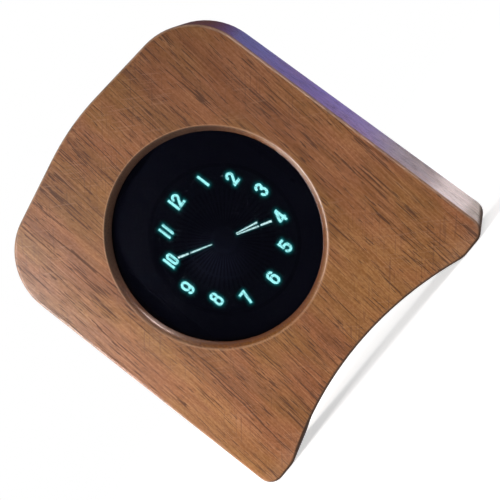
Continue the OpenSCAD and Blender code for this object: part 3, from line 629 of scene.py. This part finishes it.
def walnut_colour(tree, figure, skin, masks):
    off_rim = maths(tree, "SUBTRACT", 1.0, masks["rim"])
    edges = times(tree, use(tree, EDGES)["Mask"], off_rim)
    # rub: the worn eased edges and lip, painted paler as wear and as a highlight
    rub = maths(tree, "MAXIMUM", edges, times(tree, masks["lip"], LIP_WEAR_AND_HIGHLIGHT))
    rim_painted_shade = ranged(tree, masks["height"], *RIM_SHADE_BY_HEIGHT)
    layers = [
        (masks["dark marks"], DARK_MARKS, DARK_MARK),
        (masks["pale marks"], PALE_MARKS, PALE_MARK),
        # worn edges and lip: wear and a painted highlight
        (rub, EDGE_WEAR_AND_HIGHLIGHT, WORN_AND_HIGHLIT_WOOD),
        # the rim's slope: end grain with painted shade, darker towards the lens and low on the clock
        (masks["slope"], rim_painted_shade, RIM_END_GRAIN_AND_SHADE),
        # the underside: painted shade
        (masks["underside"], UNDERSIDE_SHADE_AMOUNT, UNDERSIDE_PAINTED_SHADE),
    ]
    colour = clouds_and_painted_shade(tree, figure, skin, masks)
    for mask, amount, shade in layers:
        colour = mixed(tree, times(tree, mask, amount), colour, shade)
    return colour


print("walnut colour ready")

# %% [markdown]
# The case is oiled and then varnished to a satin. The Principled shader's coat is the varnish, and the wood
# below it keeps its own rougher gloss. One gloss for both would look like plastic. Varnish sinks into the
# pores, so there is less of it there. The underside has none, and the lower part of the rim has little.

# %% Walnut gloss
WOOD_ROUGHNESS, WOOD_GLOSS, VARNISH_ROUGHNESS = (0.40, 0.50), 0.18, 0.24
PORE_ROUGHNESS, RIM_POLISH, UNDERSIDE_ROUGHNESS = 0.2, 0.26, 0.3
VARNISH_ON_FLAT, MORE_ON_RIM = 0.75, 0.25
PORE_LOSS = 0.5
RIM_LOSS = (34 * MM, 48 * MM, 0.85, 0.0)


def wood_roughness(tree, figure, skin, masks):
    sanded = ranged(tree, skin["Clouds"], 0, 1, *WOOD_ROUGHNESS)
    porous = maths(tree, "ADD", sanded, times(tree, figure["Pores"], PORE_ROUGHNESS))
    smooth = maths(tree, "SUBTRACT", porous, times(tree, masks["rim"], RIM_POLISH))
    return maths(tree, "ADD", smooth, times(tree, masks["underside"], UNDERSIDE_ROUGHNESS))


def varnish_cover(tree, figure, masks):
    dull_rim = times(tree, masks["rim"], ranged(tree, masks["height"], *RIM_LOSS))
    bare = maths(tree, "MAXIMUM", masks["underside"], dull_rim)
    lost = maths(tree, "MAXIMUM", bare, times(tree, figure["Pores"], PORE_LOSS))
    varnish = maths(tree, "ADD", times(tree, masks["rim"], MORE_ON_RIM), VARNISH_ON_FLAT)
    return times(tree, maths(tree, "SUBTRACT", 1.0, lost), varnish)


print("walnut gloss ready")

# %% [markdown]
# Pores and sanding marks are cut into the bump at their real depth of a few hundredths of a millimetre. A
# second bump rounds the sloped rim and its eased edge into one soft curve, as turning and sandpaper leave it.
# The varnish follows only the rounded rim, because it fills the finer marks.

# %% Walnut relief
SLOPE_CURVE, EDGE_CURVE = 0.27, 0.97
FIBRE_RISE, MARK_DEPTH = 0.35, 0.4
CUT_STRENGTH, CUT_DEPTH = 0.6, 0.03 * MM


def rounded_rim(tree, radius):
    """Height in millimetres that rounds the sloped rim and its eased edge into one soft curve."""
    slope = maths(tree, "SUBTRACT", maths(tree, "MINIMUM", radius, RIM_EDGE), RIM_STEADY)
    edge = ranged(tree, radius, RIM_TOP, RIM_EDGE, 0.0, RIM_TOP - RIM_EDGE, "LINEAR")
    bulge = times(tree, times(tree, slope, slope), SLOPE_CURVE)
    fade = times(tree, times(tree, edge, edge), EDGE_CURVE)
    return maths(tree, "SUBTRACT", fade, bulge)


def cut_wood(tree, figure, masks, base):
    """The normal of pores and marks that are cut into a base normal."""
    fibre = maths(tree, "SUBTRACT", times(tree, figure["Fibre"], FIBRE_RISE), figure["Pores"])
    height = maths(tree, "SUBTRACT", fibre, times(tree, masks["dark marks"], MARK_DEPTH))
    inputs = {"Height": height, "Strength": CUT_STRENGTH, "Distance": CUT_DEPTH, "Normal": base}
    return put(tree, "Bump", inputs).outputs[0]


def make_walnut():
    material, tree, shader = new_material("walnut_satin")
    figure = use(tree, FIGURE)
    skin = use(tree, SKIN, Clouds=35.0, Grain=5000.0)
    masks = walnut_masks(tree)
    rim_height = rounded_rim(tree, masks["radius"])
    soft_rim = put(tree, "Bump", {"Height": rim_height, "Strength": 1.0, "Distance": MM}).outputs[0]
    feed(tree, shader, {
        "Base Color": walnut_colour(tree, figure, skin, masks),
        "Roughness": wood_roughness(tree, figure, skin, masks),
        "Specular IOR Level": WOOD_GLOSS,
        "Coat Weight": varnish_cover(tree, figure, masks),
        "Coat Roughness": VARNISH_ROUGHNESS,
        "Normal": cut_wood(tree, figure, masks, soft_rim),
        "Coat Normal": soft_rim,
    })
    return material


walnut = make_walnut()
print("walnut finish has", len(walnut.node_tree.nodes), "nodes")

# %% [markdown]
# The other solids are moulded, stamped or coated pieces. Each gets the same recipe with its own two shades,
# gloss and grain, so a table of finishes and one function are enough. Glass is apart: it keeps a plain
# transmission and only its tint and smoothness are set.

# %% Plain finishes
# Each row: dark shade, light shade, roughness low and high, metallic, grain per metre, bump depth in mm
PLAIN = {
    "gasket": ((0.012, 0.012, 0.012), (0.020, 0.020, 0.020), 0.65, 0.80, 0.0, 4000, 0.010),
    "cover_plastic": ((0.010, 0.010, 0.011), (0.021, 0.021, 0.022), 0.46, 0.66, 0.0, 1700, 0.045),
    "black_screw": ((0.070, 0.070, 0.074), (0.120, 0.120, 0.126), 0.20, 0.34, 1.0, 5000, 0.004),
    "base_glass": ((0.0030, 0.0030, 0.0042), (0.0045, 0.0045, 0.0060), 0.35, 0.50, 0.0, 3000, 0.002),
    "phosphor_off": ((0.0010, 0.0010, 0.0012), (0.0018, 0.0018, 0.0020), 0.80, 0.95, 0.0, 9000, 0.003),
    "grid_metal": ((0.010, 0.010, 0.011), (0.016, 0.016, 0.017), 0.45, 0.60, 0.8, 6000, 0.001),
    "wire_metal": ((0.020, 0.020, 0.021), (0.034, 0.034, 0.035), 0.40, 0.55, 0.9, 6000, 0.001),
    "tinned_metal": ((0.50, 0.50, 0.49), (0.68, 0.68, 0.66), 0.28, 0.45, 1.0, 3000, 0.003),
    "foam": ((0.030, 0.030, 0.032), (0.060, 0.060, 0.062), 0.85, 0.98, 0.0, 2200, 0.080),
    "board": ((0.008, 0.050, 0.022), (0.014, 0.085, 0.036), 0.30, 0.45, 0.0, 1500, 0.010),
    "nylon": ((0.62, 0.60, 0.54), (0.72, 0.70, 0.64), 0.45, 0.60, 0.0, 2000, 0.008),
    "steel_screw": ((0.42, 0.42, 0.43), (0.58, 0.58, 0.58), 0.25, 0.42, 1.0, 4000, 0.004),
    "chip_plastic": ((0.014, 0.014, 0.015), (0.026, 0.026, 0.027), 0.50, 0.68, 0.0, 5000, 0.008),
    "cell_metal": ((0.52, 0.52, 0.51), (0.66, 0.66, 0.64), 0.22, 0.38, 1.0, 2600, 0.004),
    "holder_plastic": ((0.016, 0.016, 0.017), (0.028, 0.028, 0.029), 0.45, 0.60, 0.0, 2400, 0.010),
    "ferrite": ((0.030, 0.031, 0.034), (0.055, 0.056, 0.060), 0.60, 0.80, 0.0, 4000, 0.015),
    "can_aluminium": ((0.58, 0.59, 0.60), (0.74, 0.75, 0.76), 0.26, 0.42, 1.0, 3500, 0.003),
    "chip_ceramic": ((0.26, 0.18, 0.10), (0.36, 0.26, 0.16), 0.45, 0.62, 0.0, 6000, 0.004),
    "socket_steel": ((0.46, 0.46, 0.45), (0.62, 0.62, 0.61), 0.22, 0.36, 1.0, 3200, 0.004),
    "button_plastic": ((0.058, 0.058, 0.060), (0.084, 0.084, 0.087), 0.34, 0.48, 0.0, 3400, 0.012),
}
CLOUD_SHARE, GRAIN_SHARE = 0.6, 0.4
RUB_AMOUNT, RUB_GAIN, RUB_FLOOR = 0.5, 1.5, 0.004


def make_plain(name, dark, light, smooth, rough, metallic, grain, depth):
    material, tree, shader = new_material(name)
    skin = use(tree, SKIN, Clouds=180.0, Grain=float(grain))
    clouds, grains = times(tree, skin["Clouds"], CLOUD_SHARE), times(tree, skin["Grain"], GRAIN_SHARE)
    both = maths(tree, "ADD", clouds, grains)
    shade = mixed(tree, both, rgba(*dark), rgba(*light))
    paler = [min(1.0, channel * RUB_GAIN + RUB_FLOOR) for channel in light]
    rub = times(tree, use(tree, EDGES)["Mask"], RUB_AMOUNT)
    bump = put(tree, "Bump", {"Height": skin["Grain"], "Strength": 0.7, "Distance": depth * MM})
    feed(tree, shader, {
        "Base Color": mixed(tree, rub, shade, rgba(*paler)),
        "Roughness": ranged(tree, both, 0, 1, smooth, rough, "LINEAR"),
        "Metallic": metallic,
        "Normal": bump.outputs[0],
    })
    return material


finishes = {name: make_plain(name, *row) for name, row in PLAIN.items()}
finishes["walnut"] = walnut
print(len(finishes), "finishes made")

# %% [markdown]
# The window is a smoked acrylic disc, and behind it the tube's face is clear glass. Both are real
# transmission, so the dial is seen through two panes and shifts behind them as it should. The smoke is the
# pane's base colour. A few finger smears only show in its roughness.


# %% Glass
def make_glass(name, tint, ior, haze):
    material, tree, shader = new_material(name)
    skin = use(tree, SKIN, Clouds=45.0, Grain=1800.0)
    feed(tree, shader, {
        "Base Color": rgba(*tint),
        "Transmission Weight": 1.0,
        "IOR": ior,
        "Roughness": ranged(tree, skin["Clouds"], 0.55, 1.0, 0.0, haze, "LINEAR"),
    })
    return material


finishes["smoked_lens"] = make_glass("smoked_lens", (0.42, 0.44, 0.50), 1.49, 0.02)
finishes["tube_glass"] = make_glass("tube_glass", (0.93, 0.96, 0.95), 1.51, 0.01)
print("two panes of glass ready")

# %% [markdown]
# Zinc oxide phosphor glows blue-green. In the picture the strokes are nearly white in the middle and mint
# at the edge, and the segments of the hands are whiter than the numerals. Emission takes the place of light
# here: the powder itself stays a dull grey-white. Fine mottling keeps the glow from looking like a screen.

# %% Glowing phosphor
POWDER = rgba(0.30, 0.33, 0.32)


def make_phosphor(name, deep, bright, strength):
    material, tree, shader = new_material(name)
    skin = use(tree, SKIN, Clouds=700.0, Grain=9000.0)
    mottling = times(tree, maths(tree, "ADD", skin["Clouds"], skin["Grain"]), 0.5)
    feed(tree, shader, {
        "Base Color": POWDER,
        "Roughness": 0.9,
        "Emission Color": mixed(tree, mottling, rgba(*deep), rgba(*bright)),
        "Emission Strength": strength,
    })
    return material


finishes["phosphor_lit"] = make_phosphor("phosphor_lit", (0.62, 0.90, 0.80), (0.80, 1.0, 0.90), 2.4)
numeral_glow = make_phosphor("numeral_glow", (0.36, 0.92, 0.82), (0.45, 1.0, 0.90), 2.7)
print("phosphor ready")

# %% [markdown]
# Every solid now gets the finish of its slot in the record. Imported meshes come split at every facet, so
# round forms would show their flats. A small geometry node group welds the points and marks only real
# corners as sharp, and Weighted Normal then keeps the large flats truly flat beside their eased edges.

# %% Dress the solids
SHARP_CORNER = math.radians(35)
WELD_DISTANCE = 0.0005 * MM


def soften_group():
    group = bpy.data.node_groups.new("soften", "GeometryNodeTree")
    group.interface.new_socket("Geometry", in_out="INPUT", socket_type="NodeSocketGeometry")
    group.interface.new_socket("Geometry", in_out="OUTPUT", socket_type="NodeSocketGeometry")
    chain = ["RemoveAttribute", "MergeByDistance", "SetShadeSmooth", "SetShadeSmooth"]
    parts = [group.nodes.new("NodeGroupInput")]
    parts += [group.nodes.new("GeometryNode" + kind) for kind in chain]
    parts.append(group.nodes.new("NodeGroupOutput"))
    for before, after in zip(parts, parts[1:]):
        group.links.new(before.outputs[0], after.inputs[0])
    clear, weld, smooth, crease = parts[1:5]
    smooth.domain, crease.domain = "FACE", "EDGE"
    angle = group.nodes.new("GeometryNodeInputMeshEdgeAngle").outputs["Unsigned Angle"]
    sharp = maths(group, "GREATER_THAN", angle, SHARP_CORNER)
    feed(group, clear, {"Name": "custom_normal"})
    feed(group, weld, {"Distance": WELD_DISTANCE})
    feed(group, crease, {"Shade Smooth": False, "Selection": sharp})
    return group


SOFTEN = soften_group()
for solid in nodes.values():
    slot = solid.data.materials[0].name.split(".")[0]
    solid.data.materials[0] = finishes[slot]
    soften = solid.modifiers.new("soften", "NODES")
    soften.node_group = SOFTEN
    even = solid.modifiers.new("even", "WEIGHTED_NORMAL")
    even.keep_sharp = True
    even.weight = 100
print("dressed", len(nodes), "solids")

# %% [markdown]
# The numerals are printed phosphor: bold, narrow figures with square ends, about 4.4 mm tall. A font would
# bring its own shapes, so each figure is drawn as strokes, bars and arcs, in millimetres. The distance to the
# strokes then gives both the outline, where it equals half the stroke, and the halo around it.

# %% Numeral strokes
STROKE = 0.79
FIGURE_TOP = 2.2
LINE_TOP = FIGURE_TOP - STROKE / 2
OVERSHOOT = 0.12
ROUND_TOP = LINE_TOP + OVERSHOOT
BOW, WIDE_BOW = 0.89, 0.97


def arc(x, z, rx, rz, first, last, steps=24):
    turns = np.radians(np.linspace(first, last, steps + 1))
    return np.stack([x + rx * np.cos(turns), z + rz * np.sin(turns)], 1)


def line(*points):
    return np.array(points, float)


def loop(low, high, half):
    upper, lower = arc(0, high - half, half, half, 0, 180), arc(0, low + half, half, half, 180, 360)
    return np.concatenate([upper, lower, line((half, high - half))])


# Strokes with round ends are lines, and strokes with square ends are bars
UPPER, LOWER = LINE_TOP - BOW, BOW - LINE_TOP
HOOK = arc(0, ROUND_TOP - WIDE_BOW, WIDE_BOW, WIDE_BOW, 180, 30)
SIX = [loop(-ROUND_TOP, 0.58, WIDE_BOW), np.concatenate([line((-WIDE_BOW, -0.4)), HOOK])]
LINES = {
    "0": [loop(-LINE_TOP, LINE_TOP, 0.66)],
    "2": [np.concatenate([arc(0, UPPER, BOW, BOW, 178, -28), line((-BOW + 0.08, -LINE_TOP + 0.1))])],
    "3": [arc(0, 1.06, BOW, 0.82, 172, -75), arc(0, -0.86, BOW + 0.03, 1.02, 80, -172)],
    "5": [np.concatenate([line((-0.84, 0.16)), arc(0, -0.55, BOW + 0.03, 0.96, 125, 0),
                          arc(0, LOWER, BOW + 0.03, BOW + 0.03, 0, -172)])],
    "6": SIX,
    "8": [loop(0.28, ROUND_TOP + 0.06, WIDE_BOW - 0.09), loop(-ROUND_TOP - 0.06, 0.42, WIDE_BOW)],
    "9": [-stroke for stroke in SIX],
}
BARS = {
    "1": [((0, -FIGURE_TOP), (0, FIGURE_TOP))],
    "2": [((-BOW - 0.41, -LINE_TOP), (BOW + 0.38, -LINE_TOP))],
    "4": [((0.60, -FIGURE_TOP), (0.60, FIGURE_TOP)), ((-1.42, -1.02), (1.40, -1.02)),
          ((0.46, 2.02), (-1.10, -0.92))],
    "5": [((-1.28, LINE_TOP), (0.98, LINE_TOP)), ((-0.86, FIGURE_TOP), (-0.86, 0.1))],
    "7": [((-1.28, LINE_TOP), (1.26, LINE_TOP)), ((0.82, LINE_TOP), (-0.44, -FIGURE_TOP))],
}
print("figures drawn:", sorted(set(LINES) | set(BARS)))

# %% [markdown]
# Distances are taken on a grid of points. A line's distance is to its nearest segment, less half a stroke. A
# bar is an oriented box, whose distance is known exactly, so its ends stay square.

# %% Distance to a figure
FAR = 1e9


def line_distance(points, stroke):
    best = np.full(len(points), FAR)
    for a, b in zip(stroke, stroke[1:]):
        along = b - a
        share = np.clip(((points - a) @ along) / max(along @ along, 1e-12), 0, 1)
        best = np.minimum(best, np.linalg.norm(points - a - share[:, None] * along, axis=1))
    return best - STROKE / 2


def bar_distance(points, start, stop, width=STROKE, ease=0.08):
    a, b = np.array(start, float), np.array(stop, float)
    length = np.linalg.norm(b - a)
    along = (b - a) / length
    across = np.array([-along[1], along[0]])
    from_middle = points - (a + b) / 2
    past_end = np.abs(from_middle @ along) - length / 2 + ease
    past_side = np.abs(from_middle @ across) - width / 2 + ease
    over = np.stack([past_end, past_side], 1)
    outside = np.linalg.norm(np.maximum(over, 0), axis=1)
    return outside + np.minimum(over.max(1), 0) - ease


def figure_distance(points, figure):
    found = [line_distance(points, stroke) for stroke in LINES.get(figure, [])]
    found += [bar_distance(points, *ends) for ends in BARS.get(figure, [])]
    return np.min(found, axis=0)


print("distance from the middle of a 1:", figure_distance(np.zeros((1, 2)), "1").round(3)[0], "mm")

# %% [markdown]
# The numerals stand on a ring round the dial's centre, and all of them are upright. Twelve even steps would
# be the short way to place them, but the ring in the photograph isn't quite even, so each has its own place.

# %% Numeral places
# Each numeral's centre from the dial's, and its figures with their shifts, in mm
NUMERALS = {
    12: ((0.15, 18.4), [("1", -1.26), ("2", 0.72)]),
    1: ((10.45, 15.6), [("1", 0)]), 2: ((16.55, 9.2), [("2", 0)]),
    3: ((19.3, 0.2), [("3", 0)]), 4: ((16.25, -9.0), [("4", 0)]), 5: ((10.1, -15.7), [("5", 0)]),
    6: ((-0.12, -18.65), [("6", 0)]), 7: ((-10.2, -15.9), [("7", 0)]), 8: ((-16.55, -9.1), [("8", 0)]),
    9: ((-19.35, 0.05), [("9", 0)]), 10: ((-15.85, 9.0), [("1", -1.06), ("0", 0.76)]),
    11: ((-9.23, 15.5), [("1", -0.86), ("1", 0.86)]),
}
NUMERAL_REACH = 6


def dial_distance(points):
    """Distance to the nearest numeral, for points from the dial's centre."""
    found = np.full(len(points), FAR)
    for centre, figures in NUMERALS.values():
        near = np.linalg.norm(points - centre, axis=1) < NUMERAL_REACH
        for figure, shift in figures:
            away = figure_distance(points[near] - centre - (shift, 0), figure)
            found[near] = np.minimum(found[near], away)
    return found


print(len(NUMERALS), "numerals placed")

# %% [markdown]
# The distances have to become faces. A grid cell inside the outline is a square face, and a cell that the
# outline crosses is clipped where the distance passes zero. This is marching squares. Filling a curve object
# would be shorter to write, but overlapping strokes would leave holes and doubled faces.


# %% Faces from distances
def clipped_cells(xs, zs, field):
    """Points and faces of the part of a grid where the field is below zero."""
    points, faces, index = [], [], {}

    def corner(i, j):
        return (xs[i], zs[j]), field[j, i], (i, j)

    def keep(key, point):
        if key not in index:
            index[key] = len(points)
            points.append(point)
        return index[key]

    for j in range(len(zs) - 1):
        for i in range(len(xs) - 1):
            ring = [corner(i, j), corner(i + 1, j), corner(i + 1, j + 1), corner(i, j + 1)]
            face = []
            for (p, f, key), (q, g, other) in zip(ring, ring[1:] + ring[:1]):
                if f <= 0:
                    face.append(keep(key, p))
                if (f <= 0) != (g <= 0):
                    t = f / (f - g)
                    crossing = (p[0] + t * (q[0] - p[0]), p[1] + t * (q[1] - p[1]))
                    face.append(keep(tuple(sorted((key, other))), crossing))
            if len(face) > 2:
                faces.append(face)
    return points, faces


corner_field = np.array([[-1.0, 1.0], [1.0, 1.0]])
print("a cell with one corner inside keeps", len(clipped_cells([0, 1], [0, 1], corner_field)[0]), "points")

# %% [markdown]
# The faces of all figures go into one flat mesh just above the tube's base plate. Flat neighbours are
# dissolved into a few large faces, and the Solidify modifier gives the sheet the thickness of the print, so
# that every figure is one clean closed film. The film is phosphor and rides on the clock's body.

# %% Numeral films
PLATE_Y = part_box("tube_base_plate")[0].y
hands_low, hands_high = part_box("inner_segments_unlit")
DIAL_X, DIAL_Z = (hands_low.x + hands_high.x) / 2, (hands_low.z + hands_high.z) / 2
GRID_HALF_WIDTH, GRID_HALF_HEIGHT = 1.7, 2.5
FILM_GAP = 0.005


def on_plate(point, lift):
    """A dial point in millimetres, at a height above the base plate."""
    return (DIAL_X + point[0] * MM, PLATE_Y - lift * MM, DIAL_Z + point[1] * MM)


def add_figure(shape, figure, x, z, step, lift):
    """Adds one figure's flat faces to a mesh, centred on a dial point."""
    xs = np.arange(-GRID_HALF_WIDTH, GRID_HALF_WIDTH, step)
    zs = np.arange(-GRID_HALF_HEIGHT, GRID_HALF_HEIGHT, step)
    grid = np.stack(np.meshgrid(xs, zs), -1).reshape(-1, 2)
    field = figure_distance(grid, figure).reshape(len(zs), len(xs))
    points, faces = clipped_cells(xs, zs, field)
    verts = [shape.verts.new(on_plate((p[0] + x, p[1] + z), lift)) for p in points]
    for face in faces:
        shape.faces.new([verts[k] for k in face])


def make_numerals(step=0.08, lift=0.05):
    shape = bmesh.new()
    for centre, figures in NUMERALS.values():
        for figure, shift in figures:
            add_figure(shape, figure, centre[0] + shift, centre[1], step, lift)
    bmesh.ops.dissolve_limit(shape, angle_limit=math.radians(1), verts=shape.verts, edges=shape.edges)
    mesh = bpy.data.meshes.new("dial_numerals")
    shape.to_mesh(mesh)
    shape.free()
    piece = bpy.data.objects.new("dial_numerals", mesh)
    bpy.context.scene.collection.objects.link(piece)
    film = piece.modifiers.new("film", "SOLIDIFY")
    film.thickness, film.offset = (lift - FILM_GAP) * MM, -1
    mesh.materials.append(numeral_glow)
    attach(piece, "clock")
    return piece


numerals = make_numerals()
print("numerals have", len(numerals.data.polygons), "faces")

# %% [markdown]
# Light from the phosphor scatters in the glass and leaves a teal halo round each figure and each lit segment.
# A blur in the finished picture would not belong to the model. Here the halo is a thin sheet on the plate,
# whose points carry how near the next glowing edge is.

# %% Halo sheet
# Inner and outer radius of the two rings of hand segments, and the lit ones of their sixty steps
HAND_RADII = ((4.2, 11.5), (12.1, 15.7))
LIT_STEPS = {0: (19, 20, 50), 1: (20, 50)}
STEPS_ROUND, SEGMENT_WIDTH = 60, 0.5
HALO_HALF, HALO_STEP, HALO_REACH, HALO_LIFT = 24, 0.25, 2.0, 0.02
HALO_FALLOFF, HALO_TAIL, HAND_SETBACK, REFLECTION_HAZE_REACH = 0.31, 0.4, 0.25, 17.0


def hands_distance(points):
    found = np.full(len(points), FAR)
    for ring, steps in LIT_STEPS.items():
        for step in steps:
            turn = math.tau * step / STEPS_ROUND
            out = np.array([math.sin(turn), math.cos(turn)])
            near, far = HAND_RADII[ring]
            found = np.minimum(found, bar_distance(points, out * near, out * far, SEGMENT_WIDTH))
    return found


def halo_faces(wanted):
    """Square faces of a grid, where any corner is wanted."""
    count = len(wanted)
    faces = []
    for j in range(count - 1):
        for i in range(count - 1):
            if wanted[j:j + 2, i:i + 2].any():
                low, high = j * count + i, (j + 1) * count + i
                faces.append((low, low + 1, high + 1, high))
    return faces


def make_halo():
    side = np.arange(-HALO_HALF, HALO_HALF + HALO_STEP, HALO_STEP)
    grid = np.stack(np.meshgrid(side, side), -1).reshape(-1, 2)
    away = np.minimum(dial_distance(grid), hands_distance(grid) + HAND_SETBACK)
    # The sheet also covers the middle of the dial, where the painted reflection lies
    near_centre = np.linalg.norm(grid, axis=1) < REFLECTION_HAZE_REACH
    faces = halo_faces(((away < HALO_REACH) | near_centre).reshape(len(side), len(side)))
    used = sorted({k for face in faces for k in face})
    renumber = {k: n for n, k in enumerate(used)}
    points = [on_plate(grid[k], HALO_LIFT) for k in used]
    mesh = bpy.data.meshes.new("dial_halo")
    mesh.from_pydata(points, [], [[renumber[k] for k in face] for face in faces])
    glow = mesh.attributes.new("glow", "FLOAT", "POINT")
    fade = np.clip(1 - away[used] / (HALO_REACH + HALO_TAIL), 0, 1)
    strength = np.exp(-np.maximum(away[used], 0) / HALO_FALLOFF) * fade
    glow.data.foreach_set("value", strength.astype(np.float32))
    piece = bpy.data.objects.new("dial_halo", mesh)
    bpy.context.scene.collection.objects.link(piece)
    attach(piece, "clock")
    return piece


halo = make_halo()
print("halo sheet has", len(halo.data.polygons), "faces")

# %% [markdown]
# The halo's material turns that nearness into a teal glow, which is light from the tube. It also carries a
# faint bluish haze, brightest a little to the left of the centre, with the hub inside the ring of segments
# darker: a painted reflection. Both are emission, not a colour of the plate.

# %% Halo glow
# Where the painted reflection is brightest and how it fades, and how the hub dims it
REFLECTION_HAZE_SPOT, REFLECTION_HAZE_FADE = (-5.5, -1.5), (13 * MM, 0.5 * MM)
HUB_FADE = (2.0 * MM, 6.5 * MM, 0.25, 1.0)
TEAL, REFLECTION_HAZE_BLUE, PLATE_BLACK = rgba(0.012, 0.50, 0.47), rgba(0.016, 0.017, 0.032), rgba(0.004, 0.004, 0.005)


def distance_from(tree, dial_point):
    return vectors(tree, "DISTANCE", object_place(tree), on_plate(dial_point, HALO_LIFT), "Value")


def make_halo_glow():
    material, tree, shader = new_material("halo_glow")
    skin = use(tree, SKIN, Clouds=300.0, Grain=6000.0)
    near = put(tree, "Attribute", attribute_name="glow").outputs["Fac"]
    uneven = times(tree, near, ranged(tree, skin["Clouds"], 0, 1, 0.85, 1.1))
    hub = ranged(tree, distance_from(tree, (0, 0)), *HUB_FADE)
    spot = ranged(tree, distance_from(tree, REFLECTION_HAZE_SPOT), *REFLECTION_HAZE_FADE, curve="SMOOTHERSTEP")
    # painted reflection: a bluish haze in the emission
    haze = mixed(tree, times(tree, hub, spot), grey(0), REFLECTION_HAZE_BLUE)
    feed(tree, shader, {
        "Base Color": PLATE_BLACK,
        "Roughness": 0.6,
        "Emission Color": mixed(tree, uneven, haze, TEAL),
        "Emission Strength": 1.0,
    })
    return material


halo.data.materials.append(make_halo_glow())
lit_count = sum(len(steps) for steps in LIT_STEPS.values())
print("halo glows round", len(NUMERALS), "numerals and", lit_count, "segments")

# %% Sizes and finish
visual_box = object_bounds()
for label, box in (("CAD box", cad_box), ("visual box", visual_box)):
    print(label, [round(side, 5) for side in box[1] - box[0]])
